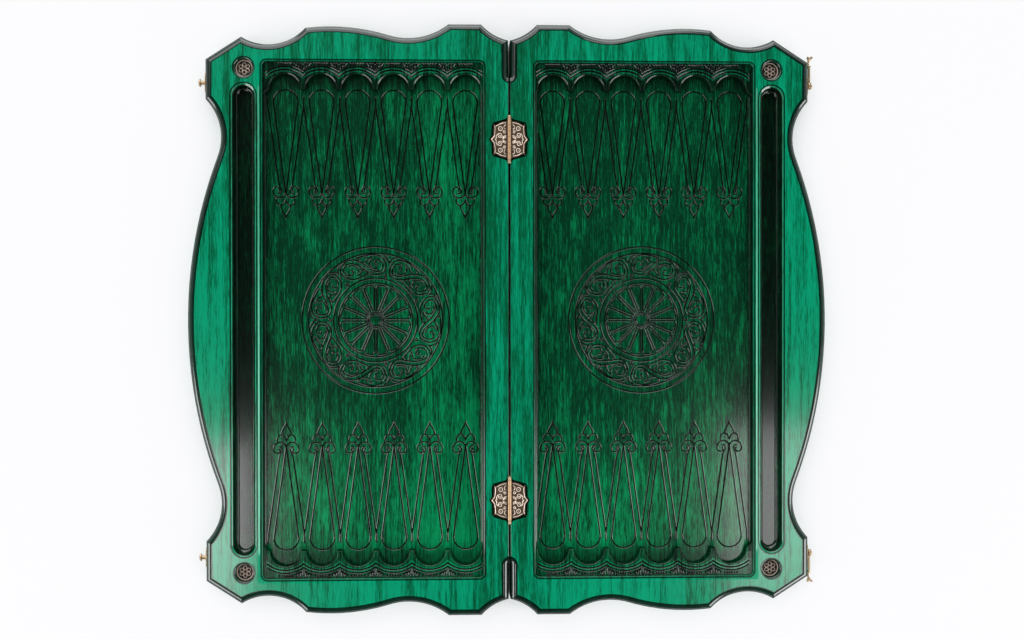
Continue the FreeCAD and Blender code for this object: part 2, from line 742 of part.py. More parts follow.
def make_leaf(name, knuckle_places):
    """A hinge leaf, on the +X side, that keeps only the knuckles at the given places."""
    body = new_body(name)
    plate = new_sketch(body, name + "_plate_outline", "XY_Plane", {"z": leaf_z})
    draw_outline(plate, leaf_outline())
    pad(body, name + "_plate", plate, leaf_thickness)
    barrel = new_sketch(body, name + "_barrel_circle", "XZ_Plane")
    draw_circle(barrel, 0, axis_z, knuckle_radius)
    pad(body, name + "_barrel", barrel, barrel_length, Midplane=True)

    slots = new_sketch(body, name + "_slots", "XY_Plane", {"z": axis_z + knuckle_radius + 1})
    free = knuckle_radius + knuckle_gap
    for index in range(knuckle_count):
        if index in knuckle_places:
            continue
        middle = knuckle_pitch * (index - (knuckle_count - 1) / 2)
        reach = knuckle_length / 2 + knuckle_gap
        draw_outline(slots, rectangle(-free, free, middle - reach, middle + reach))
    pocket(body, name + "_slot_cuts", slots, knuckle_radius * 2 + 2)

    bore = new_sketch(body, name + "_bore_circle", "XZ_Plane")
    draw_circle(bore, 0, axis_z, pin_radius + pin_fit)
    pocket(body, name + "_bore", bore, barrel_length + 2, Midplane=True)
    holes = new_sketch(body, name + "_screw_circles", "XY_Plane", {"z": leaf_top_z})
    for side in (1, -1):
        draw_circle(holes, screw_x, screw_y * side, screw_radius + fastener_fit)
    pocket(body, name + "_screw_holes", holes, leaf_thickness)
    near = (screw_radius + fastener_fit).number + TINY

    def on_hole(point):
        return math.hypot(point.x - screw_x.number, abs(point.y) - screw_y.number) < near

    sink = screw_head - screw_radius
    round_edges(body, name + "_countersinks", sink, leaf_top_z, on_hole, "Chamfer")
    place(body, 0, hinge_y, 0)
    return body


def make_hinge_pin():
    """A straight pin with a collar and a ball at each end."""
    end = barrel_length / 2 + finial_gap
    ball = end + finial_neck + finial_radius
    half = [
        Corner(ball + finial_radius, 0, (finial_radius, "left")),
        Corner(ball, finial_radius),
        Corner(ball - finial_radius / 2, finial_radius),
        Corner(end + finial_neck / 2, finial_collar),
        Corner(end, finial_collar),
        Corner(end, pin_radius),
    ]
    other = []
    for index in range(len(half) - 1, -1, -1):
        bend = half[index - 1].bend if index > 0 else None
        other.append(Corner(-half[index].place[0], half[index].place[1], bend))
    body = turned("upper_hinge_pin", half + other)
    place(body, 0, hinge_y, axis_z, FreeCAD.Rotation(FreeCAD.Vector(0, 0, 1), 90))
    return body


def make_screw(name, y):
    """A countersunk wood screw with a cross recess, point down."""
    cone = screw_head - screw_radius
    profile = [
        Corner(0, 0),
        Corner(-screw_length, 0),
        Corner(screw_point - screw_length, screw_radius),
        Corner(-cone, screw_radius),
        Corner(0, screw_head),
    ]
    body = turned(name, profile)
    recess = new_sketch(body, name + "_recess", "YZ_Plane")
    long_arm, wide = screw_head * 0.6, screw_slot / 2
    upper = [
        Corner(-long_arm, wide),
        Corner(-wide, wide),
        Corner(-wide, long_arm),
        Corner(wide, long_arm),
        Corner(wide, wide),
        Corner(long_arm, wide),
    ]
    draw_outline(recess, completed(upper))
    pocket(body, name + "_recess_cut", recess, screw_slot_depth)
    place(body, screw_x, hinge_y + y, leaf_top_z, FreeCAD.Rotation(FreeCAD.Vector(0, 1, 0), -90))
    return body


def make_nail(name, y):
    """A round headed nail through a base plate."""
    profile = [
        Corner(-nail_length, 0),
        Corner(-nail_length + nail_radius * 2, nail_radius),
        Corner(0, nail_radius),
        Corner(0, nail_head, (nail_head * 1.2, "right")),
        Corner(nail_rise, 0),
    ]
    body = turned(name, profile)
    place(body, plate_x, latch_y + y, latch_z)
    return body


def make_group(name, members):
    group = DOC.addObject("Part::Compound", name)
    group.Links = members
    return group


def make_plate(name):
    """A thin base plate with round ends, a shank hole and two nail holes."""
    body = new_body(name)
    outline = new_sketch(body, name + "_outline", "YZ_Plane", {"z": side_x})
    half = plate_height / 2
    straight = plate_length / 2 - half
    upper = [
        Corner(-straight, half),
        Corner(straight, half, ("half", "right")),
    ]
    corners = [upper[0], upper[1], Corner(straight, -half), Corner(-straight, -half, ("half", "right"))]
    draw_outline(outline, corners)
    pad(body, name + "_pad", outline, plate_thickness)
    holes = new_sketch(body, name + "_holes", "YZ_Plane", {"z": plate_x})
    draw_circle(holes, 0, 0, shank_radius + fastener_fit)
    for side in (1, -1):
        draw_circle(holes, nail_offset * side, 0, nail_radius + fastener_fit)
    pocket(body, name + "_hole_cuts", holes, plate_thickness)
    place(body, 0, latch_y, latch_z)
    return body


def make_rivet():
    """The rivet that the hook turns on: shank, collar, bearing and domed head."""
    head_start = plate_thickness + collar_height + hook_gap * 2 + hook_thickness
    collar_end = plate_thickness + collar_height
    profile = [
        Corner(-shank_depth, 0),
        Corner(-shank_depth, shank_radius),
        Corner(plate_thickness, shank_radius),
        Corner(plate_thickness, collar_radius),
        Corner(collar_end, collar_radius),
        Corner(collar_end, shank_radius),
        Corner(head_start, shank_radius),
        Corner(head_start, rivet_head, (rivet_head * 1.15, "right")),
        Corner(head_start + rivet_rise, 0),
    ]
    body = turned("upper_hook_rivet", profile)
    place(body, side_x, latch_y, latch_z)
    return body


def make_stud():
    """The stud that the hook drops over: shank, flange, neck and domed head."""
    flange_end = plate_thickness + collar_height
    head_start = flange_end + stud_neck_length
    head_edge = head_start + stud_head_edge
    profile = [
        Corner(-shank_depth, 0),
        Corner(-shank_depth, shank_radius),
        Corner(plate_thickness, shank_radius),
        Corner(plate_thickness, stud_flange),
        Corner(flange_end, stud_flange),
        Corner(flange_end, stud_neck),
        Corner(head_start, stud_neck),
        Corner(head_start, stud_head),
        Corner(head_edge, stud_head, (stud_head * 1.8, "right")),
        Corner(head_edge + stud_head_rise, 0),
    ]
    body = turned("stud_turning", profile)
    place(body, side_x, latch_y, latch_z)
    return body


def make_hook():
    """The swinging hook: eye, strip, notched catch and forked thumb tab, pointing along +Y."""
    body = new_body("upper_hook")
    eye = new_sketch(body, "hook_eye", "YZ_Plane")
    draw_circle(eye, 0, 0, hook_eye)
    pad(body, "hook_eye_pad", eye, hook_thickness)
    catch = new_sketch(body, "hook_catch", "YZ_Plane")
    draw_circle(catch, latch_span, 0, notch_radius + catch_wall)
    strip = new_sketch(body, "hook_strip", "YZ_Plane")
    half = hook_width / 2
    draw_outline(strip, rectangle(NOTHING, tab_start + tab_length / 2, -half, half))
    pad(body, "hook_strip_pad", strip, hook_thickness)
    pad(body, "hook_catch_pad", catch, hook_thickness)

    tab = new_sketch(body, "hook_tab", "XY_Plane", {"z": -(tab_thickness / 2)})
    end = tab_start + tab_length
    low, high = -tab_inset, tab_spread - tab_inset
    middle = hook_thickness / 2
    lobe = tab_length * 0.35
    draw_outline(tab, [
        Corner(0, tab_start),
        Corner(hook_thickness, tab_start),
        Corner(high, end - lobe, (lobe, "left")),
        Corner(high - lobe, end),
        Corner(middle, end - lobe),
        Corner(low + lobe, end, (lobe, "left")),
        Corner(low, end - lobe),
    ])
    pad(body, "hook_tab_pad", tab, tab_thickness)

    notch = new_sketch(body, "hook_notch", "YZ_Plane", {"z": hook_thickness})
    mouth = notch_radius + catch_wall + 1
    draw_outline(notch, [
        Corner(latch_span + notch_radius, mouth),
        Corner(latch_span - notch_radius, mouth),
        Corner(latch_span - notch_radius, 0, ("half", "left")),
        Corner(latch_span + notch_radius, 0),
    ])
    pocket(body, "hook_notch_cut", notch, hook_thickness)
    bore = new_sketch(body, "hook_bore", "YZ_Plane", {"z": hook_thickness})
    draw_circle(bore, 0, 0, shank_radius + hook_fit)
    pocket(body, "hook_bore_cut", bore, hook_thickness)
    place(body, hook_x, latch_y, latch_z)
    return body


def make_medal():
    """A brass disc with a raised ring, lying at the bottom of its hole."""
    profile = [
        Corner(0, 0),
        Corner(0, medal_radius),
        Corner(medal_thickness, medal_radius),
        Corner(medal_thickness, medal_radius - medal_ring),
        Corner(medal_thickness - medal_ring_rise, medal_radius - medal_ring),
        Corner(medal_thickness - medal_ring_rise, 0),
    ]
    body = turned("right_upper_medal", profile)
    place(body, medal_x, medal_y, rim_z - medal_depth, FreeCAD.Rotation(FreeCAD.Vector(0, 1, 0), -90))
    return body


def build():
    blank = make_blank()
    cut_field(blank)
    cut_trough(blank)
    cut_medal_holes(blank)
    cut_hinge_seats(blank)
    cut_catch_holes(blank)
    left_blank = mirrored("left_blank", blank, ACROSS)
    make_staves(blank, "right", right_seam_x, 1)
    make_staves(left_blank, "left", left_seam_x, -1)

    medal = keep("right_upper_medal", make_medal())
    keep("right_lower_medal", mirrored("right_lower_medal", medal, ALONG))
    left_medal = keep("left_upper_medal", mirrored("left_upper_medal", medal, ACROSS))
    keep("left_lower_medal", mirrored("left_lower_medal", left_medal, ALONG))

    even = range(0, knuckle_count, 2)
    odd = range(1, knuckle_count, 2)
    right_leaf = keep("upper_hinge_right_leaf", make_leaf("upper_right_leaf", even))
    left_leaf = mirrored("upper_hinge_left_leaf", make_leaf("odd_knuckle_leaf", odd), ACROSS)
    keep("upper_hinge_left_leaf", left_leaf)
    pin = keep("upper_hinge_pin", make_hinge_pin())
    screws = [make_screw("screw_" + word, screw_y * sign) for word, sign in (("far", 1), ("near", -1))]
    right_screws = keep("upper_hinge_right_screws", make_group("upper_right_screws", screws))
    left_screws = keep("upper_hinge_left_screws", mirrored("upper_left_screws", right_screws, ACROSS))
    for word, piece in (
        ("right_leaf", right_leaf),
        ("left_leaf", left_leaf),
        ("pin", pin),
        ("right_screws", right_screws),
        ("left_screws", left_screws),
    ):
        keep("lower_hinge_" + word, mirrored("lower_hinge_" + word, piece, ALONG))

    hook_plate = keep("upper_hook_plate", make_plate("upper_hook_plate"))
    stud_plate = keep("upper_stud_plate", mirrored("upper_stud_plate", hook_plate, ACROSS))
    nails = [make_nail("nail_" + word, nail_offset * sign) for word, sign in (("far", 1), ("near", -1))]
    hook_nails = keep("upper_hook_plate_nails", make_group("upper_hook_nails", nails))
    stud_nails = keep("upper_stud_plate_nails", mirrored("upper_stud_nails", hook_nails, ACROSS))
    rivet = keep("upper_hook_rivet", make_rivet())
    stud = keep("upper_stud", mirrored("upper_stud", make_stud(), ACROSS))
    hook = keep("upper_hook", make_hook())
    for word, piece in (
        ("hook_plate", hook_plate),
        ("stud_plate", stud_plate),
        ("hook_plate_nails", hook_nails),
        ("stud_plate_nails", stud_nails),
        ("hook_rivet", rivet),
        ("stud", stud),
        ("hook", hook),
    ):
        keep("lower_" + word, mirrored("lower_" + word, piece, ALONG))
    DOC.recompute()


def check_document():
    """Stops before anything is written if an object failed or a piece is not a sound solid."""
    for item in DOC.Objects:
        if "Invalid" in item.State or "Error" in item.State:
            raise RuntimeError(item.Name + " is " + ", ".join(item.State))
    for name, item in PARTS.items():
        if item.Shape.isNull() or not item.Shape.isValid() or not item.Shape.Solids:
            raise RuntimeError(name + " has no sound shape")


def write_parts():
    os.makedirs("parts", exist_ok=True)
    for name, item in PARTS.items():
        item.Shape.exportStep("parts/" + name + ".step")
        box = item.Shape.BoundBox
        print(name, len(item.Shape.Solids), "solids", round(item.Shape.Volume, 1), "mm3, box",
              [round(value, 2) for value in (box.XMin, box.YMin, box.ZMin, box.XMax, box.YMax, box.ZMax)])


build()
check_document()
write_parts()
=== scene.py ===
import math

import bmesh
import bpy
import numpy as np
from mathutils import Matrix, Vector, kdtree
from mathutils.geometry import delaunay_2d_cdt


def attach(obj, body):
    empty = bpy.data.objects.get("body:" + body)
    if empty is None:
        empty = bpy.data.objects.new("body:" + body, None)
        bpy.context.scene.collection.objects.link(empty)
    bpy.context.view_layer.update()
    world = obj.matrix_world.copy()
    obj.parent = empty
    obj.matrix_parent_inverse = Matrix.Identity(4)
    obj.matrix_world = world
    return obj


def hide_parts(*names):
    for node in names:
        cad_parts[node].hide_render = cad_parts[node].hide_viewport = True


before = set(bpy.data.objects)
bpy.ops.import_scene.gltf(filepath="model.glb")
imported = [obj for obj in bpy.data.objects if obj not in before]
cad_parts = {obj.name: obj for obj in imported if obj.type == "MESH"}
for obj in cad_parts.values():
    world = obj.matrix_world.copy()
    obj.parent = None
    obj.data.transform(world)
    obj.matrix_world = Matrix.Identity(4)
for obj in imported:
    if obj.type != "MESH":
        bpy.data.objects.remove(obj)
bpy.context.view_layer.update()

bl_info = {
    "name": "Carved backgammon board",
    "version": (1, 0, 0),
    "blender": (4, 5, 0),
    "location": "3D View > Sidebar > Board",
    "description": "Carves and finishes a folding backgammon board",
    "category": "Object",
}

MM = 0.001

# Places of the board's features, in millimetres.
SIDES = {"right": 1, "left": -1}
STAVES = ("hinge_stave", "inner_stave", "outer_stave", "trough_stave")
GLUE_LINES = {"right": (62.5, 153.5, 244.5), "left": (44.5, 135.5, 226.5)}
SHELF_HEIGHT = 25.0
FIELD_HEIGHT = 16.0
MEDAL_HEIGHT = 20.1
MEDAL_RING_HEIGHT = 20.6
LEAF_HEIGHT = 27.8
ARCH_PITCH = 36.4
FIRST_ARCH = 44.5
ARCH_COUNT = 6
ARCH_CENTRE = 233.2
ARCH_RADIUS = 15.7
ROSETTE_CENTRE = 135.7
DIVIDER_CENTRE = 252.4
TROUGH_CENTRE = 267.6
MEDAL_PLACE = (267.4, 254.3)
HINGE_PLACE = 182.8
BARREL_HEIGHT = 29.65
SCREW_PLACE = (9.0, 11.0)
BORDER_CENTRE = 225.1
BORDER_BANDS = ((25.5, 26.6), (28.7, 29.7))
BORDER_GROOVES = (27.75, 30.75)
VINE_RADIUS = 56.3

# Cut of the carved lines and of the ornament on the metal, in millimetres.
CHAMFER_WIDTH = 0.28
CHAMFER_DROP = 0.185
HINGE_RELIEF_HALF_WIDTH = 0.38
MEDAL_RELIEF_HALF_WIDTH = 0.5
MEDAL_RELIEF_SHARE = 1.6

# Room kept from a face's rim in half widths of the cut, sharpest smooth turn of a line
# and of shaded faces in radians, and how level a face must lie in metres.
RIM_CLEARANCE = 1.15
SHARP_TURN = 0.9
SMOOTH_ANGLE = 0.5
LEVEL_TOLERANCE = 2e-5

# Change of tone over each glue line, and half the width of its dark joint.
STAVE_TONES = (0.55, -0.8, 0.6)
JOINT_HALF_WIDTH = 0.16


# ---- drawn lines


def arc(centre, radius, start, end, step=1.0):
    """Points along an arc; angles in degrees, turning left where end is the larger."""
    sweep = math.radians(end - start)
    count = max(int(abs(sweep) * radius / step), 4)
    angles = [math.radians(start) + sweep * i / count for i in range(count + 1)]
    return [(centre[0] + radius * math.cos(a), centre[1] + radius * math.sin(a))
            for a in angles]


def bent(points, step=0.9):
    """A smooth line through the given points."""
    ends = [points[0]] + list(points) + [points[-1]]
    line = []
    for before, start, end, after in zip(ends, ends[1:], ends[2:], ends[3:]):
        count = max(int(math.dist(start, end) / step), 1)
        for index in range(count):
            t = index / count
            line.append(tuple(
                0.5 * (2 * b + (c - a) * t + (2 * a - 5 * b + 4 * c - d) * t * t
                       + (3 * b - a - 3 * c + d) * t ** 3)
                for a, b, c, d in zip(before, start, end, after)))
    line.append(tuple(points[-1]))
    return line


def flipped(line):
    """The line's mirror image across x = 0."""
    return [(-x, y) for x, y in line]


def mirrored(lines):
    """The lines' mirror images across x = 0."""
    return [flipped(line) for line in lines]


def both_ways(lines):
    """The lines and their mirror images across x = 0."""
    return list(lines) + mirrored(lines)


def moved(lines, x, y):
    """The lines moved by a distance along each axis."""
    return [[(px + x, py + y) for px, py in line] for line in lines]


def turned_over(lines):
    """The lines' mirror images across y = 0."""
    return [[(x, -y) for x, y in line] for line in lines]


def spun(lines, angle):
    """The lines turned clockwise about the origin by an angle in degrees."""
    c = math.cos(math.radians(angle))
    s = math.sin(math.radians(angle))
    return [[(x * c + y * s, y * c - x * s) for x, y in line] for line in lines]


def spiral(centre, start_radius, end_radius, start, sweep, step=0.8):
    """A volute that winds in from its outer radius; angles in degrees."""
    length = abs(math.radians(sweep)) * (start_radius + end_radius) / 2
    count = max(int(length / step), 8)
    line = []
    for index in range(count + 1):
        t = index / count
        radius = start_radius + (end_radius - start_radius) * t
        angle = math.radians(start + sweep * t)
        line.append((centre[0] + radius * math.cos(angle),
                     centre[1] + radius * math.sin(angle)))
    return line


def point_lines():
    """One long point with its teardrop, volutes and lily, about its arch's middle."""
    head = (0.0, 221.3)
    radius = 12.4
    tip = (0.0, 127.4)
    lean = math.degrees(math.asin(radius / (head[1] - tip[1])))
    teardrop = [tip] + arc(head, radius, -lean, 180 + lean) + [tip]
    side = [(18.2, 226.0), (18.2, 217.4)] + bent(
        [(18.2, 217.4), (14.9, 195), (10.4, 163), (7.1, 140), (5.4, 134.4),
         (3.9, 131.4), (4.9, 129.1), (7.4, 128.6)], 1.4)
    volute = bent([(0.0, 129.2), (1.2, 126.6), (3.4, 124.9), (6.6, 124.3),
                   (10.3, 125.7), (12.6, 129.3), (12.2, 133.2), (9.9, 135.3),
                   (7.2, 134.6), (6.3, 132.4), (7.4, 130.9)])
    lobe = bent([(8.9, 123.4), (9.3, 121.0), (8.2, 118.3), (5.7, 116.6), (2.8, 117.6),
                 (0.9, 119.8), (0.0, 122.6)])
    bud = bent([(5.0, 116.6), (4.5, 113.6), (2.6, 109.6), (0.7, 106.6), (0.0, 103.8)])
    return [teardrop] + both_ways([side, volute, lobe, bud])


def rosette_lines():
    """The round rosette: rings, spoked flower and vine, about its own middle."""
    lines = [arc((0, 0), radius, 0, 360, 1.2) for radius in (74.6, 68.0, 42.6, 37.6)]
    lines += [arc((0, 0), radius, 0, 360, 0.8) for radius in (7.6, 5.9)]
    half = [(-0.6, 9.4), (-2.35, 18.0), (-5.1, 31.6), (-5.2, 33.6), (-4.2, 35.0),
            (-2.2, 35.5)]
    petal = bent(half + [(0, 35.6)] + flipped(half)[::-1], 1.6)
    petals = 16
    for index in range(petals):
        lines += spun([petal], (index + 0.5) * 360 / petals)
    rising = (True, False, True, True, False, True, False)
    for index, upward in enumerate(rising):
        vine = stem_lines() if upward else mirrored(stem_lines())
        lines += [wrapped(line, 90 + (index + 0.5) * 360 / len(rising)) for line in vine]
        lines += [wrapped(line, 90 + index * 360 / len(rising))
                  for line in meeting_lines()]
    return lines


def wrapped(line, angle):
    """A line of the straight vine, bent round the rosette about a clockwise angle."""
    turned = []
    for along, out in line:
        turn = math.radians(angle) + along / VINE_RADIUS
        turned.append(((VINE_RADIUS + out) * math.sin(turn),
                       (VINE_RADIUS + out) * math.cos(turn)))
    return turned


def stem_lines():
    """One S-shaped stem of the vine with its volutes and leaves, drawn straight."""
    edge = bent([(3.2, 9.2), (-3.2, 10.0), (-10.7, 10.4), (-17.0, 8.7), (-21.5, 4.5),
                 (-23.1, -1.1), (-21.5, -6.6), (-17.0, -9.6), (-10.7, -10.0),
                 (-5.1, -7.3), (0, -2.7), (5.1, 2.2), (10.1, 6.0), (14.8, 7.1),
                 (18.6, 5.3), (20.0, 1.4), (18.8, -2.9), (15.6, -4.8), (12.4, -3.8),
                 (11.6, -1.2), (13.6, 0.2)], 1.0)
    leaf = bent([(-9.8, 7.4), (-5.8, 6.7), (-2.8, 4.3), (0.2, 3.7), (2.6, 5.6), (3.2, 9.2)])
    tendril = bent([(-8.2, 5.2), (-6.2, 2.2), (-7.4, -1.4), (-10.4, -4.0), (-14.0, -4.4)])
    half = [edge, leaf, tendril]
    return half + turned_over(mirrored(half))


def meeting_lines():
    """Curled triangle and ball where two volutes of the vine meet."""
    side = bent([(0.0, 3.4), (1.0, 6.2), (3.0, 8.6), (5.8, 10.4)])
    return both_ways([side]) + [arc((0.0, -10.4), 1.4, 0, 360, 0.7)]


def border_lines():
    """The border of the upper shelf, in the half's own place, x outward."""
    lines = []
    for index in range(ARCH_COUNT):
        middle = FIRST_ARCH + ARCH_PITCH * index
        for radius in BORDER_GROOVES:
            reach = math.degrees(math.acos(ARCH_PITCH / 2 / radius))
            lines.append(arc((middle, BORDER_CENTRE), radius, reach, 180 - reach))
        lines += moved(sprig_lines(), middle, 0)
    for index in range(ARCH_COUNT - 1):
        lines += moved(fleuron_lines(), FIRST_ARCH + ARCH_PITCH * (index + 0.5), 0)
    return lines


def fleuron_lines():
    """Fan of leaves above a cusp of the border."""
    lines = [[(0.0, 253.0), (0.0, 260.2)]]
    lines += both_ways([bent([(1.5, 252.7), (2.6, 255.6), (2.2, 259.9)]),
                        bent([(3.2, 254.1), (5.0, 256.8), (5.0, 259.9)]),
                        bent([(5.3, 255.2), (7.8, 257.4), (8.4, 259.9)])])
    return lines


def sprig_lines():
    """Row of small leaves over the crown of an arch."""
    return both_ways([bent([(0.9 + 2.6 * k, 257.5), (1.6 + 2.6 * k, 259.2),
                            (3.4 + 2.6 * k, 259.9)]) for k in range(3)])


# ---- carving


def is_inside(points, start, end):
    """Which points lie inside the loops whose edges run from start to end."""
    inside = np.zeros(len(points), bool)
    x, y = points[:, 0], points[:, 1]
    for (ax, ay), (bx, by) in zip(start, end):
        if ay == by:
            continue
        crosses = (ay > y) != (by > y)
        inside ^= crosses & (x < ax + (y - ay) * (bx - ax) / (by - ay))
    return inside


def clipped(line, start, end, rim, margin):
    """Stretches of a line that lie inside the loops and clear of their rim."""
    inside = is_inside(np.array(line), start, end)
    stretches = [[]]
    for point, good in zip(line, inside):
        if good and rim.find((point[0], point[1], 0))[2] > margin:
            stretches[-1].append(point)
        elif stretches[-1]:
            stretches.append([])
    return [stretch for stretch in stretches if len(stretch) > 1]


def beside(line, distance):
    """The line shifted sideways by a distance, to the left of its run."""
    points = np.array(line)
    run = np.gradient(points, axis=0)
    if math.dist(line[0], line[-1]) < 1e-6:
        run[0] = run[-1] = points[1] - points[-2]
    run /= np.maximum(np.linalg.norm(run, axis=1), 1e-9)[:, None]
    across = np.stack([-run[:, 1], run[:, 0]], axis=1)
    return points + across * distance


def cap(line, radius):
    """Half round of a carved line's end, about its last point."""
    (ax, ay), (bx, by) = line[-2], line[-1]
    run = math.degrees(math.atan2(by - ay, bx - ax))
    return arc((bx, by), radius, run - 90, run + 90, radius)


def runs_of(line, step=3.0):
    """The line's smooth runs between its sharp corners, with no long straight edge."""
    runs = [[line[0]]]
    for index in range(1, len(line)):
        runs[-1] += dense([line[index - 1], line[index]], step)[1:]
        if index + 1 < len(line):
            before = Vector(line[index]) - Vector(line[index - 1])
            after = Vector(line[index + 1]) - Vector(line[index])
            if before.length and after.length and before.angle(after) > SHARP_TURN:
                runs.append([line[index]])
    return runs


def tree_of(points):
    """A search tree that finds the nearest of the points."""
    tree = kdtree.KDTree(len(points))
    for index, (x, y) in enumerate(points):
        tree.insert((x, y, 0), index)
    tree.balance()
    return tree


def dense(line, step=0.2):
    """The line with points no further apart than the step."""
    points = [tuple(line[0])]
    for start, end in zip(line, line[1:]):
        count = max(math.ceil(math.dist(start, end) / step), 1)
        for index in range(1, count + 1):
            t = index / count
            points.append((start[0] + (end[0] - start[0]) * t,
                           start[1] + (end[1] - start[1]) * t))
    return points


def level_faces(form, height):
    """The faces that lie level at a height in millimetres."""
    faces = [face for face in form.faces if face.normal.z > 0.99
             and all(abs(v.co.z - height * MM) < LEVEL_TOLERANCE for v in face.verts)]
    if not faces:
        raise RuntimeError(f"no level face at height {height}")
    return faces


def edges_round(faces):
    """The edges round a group of faces, always in the same order."""
    chosen = set(faces)
    edges = dict.fromkeys(edge for face in faces for edge in face.edges)
    return [edge for edge in edges
            if sum(face in chosen for face in edge.link_faces) == 1]


def strips_of(cut, half_width, chamfer):
    """A cut's middle and its borders, with half rounds at its ends where it is open."""
    strips = [cut]
    for reach in sorted({half_width, half_width + chamfer}):
        strips += [beside(cut, reach), beside(cut, -reach)]
        if math.dist(cut[0], cut[-1]) > 1e-6:
            strips += [cap(cut, reach), cap(cut[::-1], reach)]
    return strips


def depth_shares(place, middle, rim, half_width, chamfer):
    """How far down the V and how far down the chamfer a spot is, each from 0 to 1."""
    if middle is None:
        return 0.0, 0.0
    spot = (place.x, place.y, 0)
    reach = middle.find(spot)[2]
    room = min(rim.find(spot)[2] / half_width, 1)
    deep = max(1 - reach / half_width, 0) * room
    border = (half_width + chamfer - reach) / chamfer if chamfer else 0
    return deep, min(max(border, 0), 1) * room


def carve(form, height, lines, half_width, depth):
    """Cuts V-shaped lines with chamfered borders in the level faces at a height.

    A negative depth raises plain ridges instead. The layer keeps how deep in a cut
    each spot is: up to half on the chamfer, and from half to 1 inside the V.
    """
    layer = form.verts.layers.float["carved"]
    chamfer = CHAMFER_WIDTH if depth > 0 else 0.0
    level = level_faces(form, height)
    rim_edges = edges_round(level)
    rim_verts = list(dict.fromkeys(v for edge in rim_edges for v in edge.verts))
    number = {v: index for index, v in enumerate(rim_verts)}
    points = [(v.co.x / MM, v.co.y / MM) for v in rim_verts]
    edges = [(number[e.verts[0]], number[e.verts[1]]) for e in rim_edges]
    start = [points[a] for a, b in edges]
    end = [points[b] for a, b in edges]
    rim = tree_of([p for a, b in zip(start, end) for p in dense([a, b], 0.3)])
    clearance = (half_width + chamfer) * RIM_CLEARANCE
    cuts = [part for line in lines for run in runs_of(line)
            for part in clipped(run, start, end, rim, clearance)]
    for cut in cuts:
        for strip in strips_of(cut, half_width, chamfer):
            first = len(points)
            points += [(float(x), float(y)) for x, y in strip]
            edges += [(i, i + 1) for i in range(first, len(points) - 1)]
    found = delaunay_2d_cdt([Vector(p) for p in points], edges, [], 1, 1e-4)
    places, triangles, origins = found[0], found[2], found[3]
    middle = tree_of([p for cut in cuts for p in dense(cut)]) if cuts else None
    bmesh.ops.delete(form, geom=level, context="FACES")
    made = []
    for place, ids in zip(places, origins):
        kept = [rim_verts[i] for i in ids if i < len(rim_verts)]
        if kept and kept[0].is_valid:
            made.append(kept[0])
            continue
        deep, sloped = depth_shares(place, middle, rim, half_width, chamfer)
        drop = depth * deep + CHAMFER_DROP * sloped * (1 - deep)
        vert = form.verts.new((place.x * MM, place.y * MM, (height - drop) * MM))
        vert[layer] = (sloped + deep) / 2 if chamfer else deep
        made.append(vert)
    fresh = filled(form, made, places, triangles, start, end)
    for edge in dict.fromkeys(edge for face in fresh for edge in face.edges):
        flat = [face.normal.z > 0.9999 for face in edge.link_faces]
        edge.smooth = (flat in ([True, True], [False, False])
                       and edge.calc_face_angle(0) <= SMOOTH_ANGLE)


def filled(form, made, places, triangles, start, end):
    """New faces on the triangles that lie inside the loops; the holes stay open."""
    middles = np.array([[sum(places[i].x for i in triangle) / 3,
                         sum(places[i].y for i in triangle) / 3] for triangle in triangles])
    fresh = []
    for triangle, wanted in zip(triangles, is_inside(middles, start, end)):
        corners = [made[i] for i in triangle]
        if wanted and len(set(corners)) == 3 and form.faces.get(corners) is None:
            face = form.faces.new(corners)
            face.normal_update()
            if face.normal.z < 0:
                face.normal_flip()
            face.smooth = True
            fresh.append(face)
    return fresh


def form_of(names):
    """One working mesh from CAD nodes, with their surface directions kept on it."""
    form = bmesh.new()
    for name in names:
        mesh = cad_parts[name].data.copy()
        directions = mesh.attributes.new("made_normal", "FLOAT_VECTOR", "CORNER")
        values = np.zeros(len(mesh.loops) * 3, np.float32)
        mesh.corner_normals.foreach_get("vector", values)
        directions.data.foreach_set("vector", values)
        form.from_mesh(mesh)
        bpy.data.meshes.remove(mesh)
    bmesh.ops.remove_doubles(form, verts=form.verts, dist=1e-6)
    form.verts.layers.float.new("carved")
    return form


def placed(name, data, place=(0, 0, 0)):
    """A new object in the scene."""
    thing = bpy.data.objects.new(name, data)
    thing.location = place
    bpy.context.scene.collection.objects.link(thing)
    return thing


def piece_of(form, name, finish, body, nodes):
    """Turns a working mesh into a finished piece that stands for CAD nodes."""
    mesh = bpy.data.meshes.new(name)
    form.normal_update()
    form.to_mesh(mesh)
    form.free()
    values = np.zeros(len(mesh.loops) * 3, np.float32)
    mesh.attributes["made_normal"].data.foreach_get("vector", values)
    mesh.normals_split_custom_set(values.reshape(-1, 3).tolist())
    mesh.attributes.remove(mesh.attributes["made_normal"])
    mesh.materials.clear()
    mesh.materials.append(finish_of(finish))
    piece = placed(name, mesh)
    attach(piece, body)
    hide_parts(*nodes)
    return piece


# ---- finishes


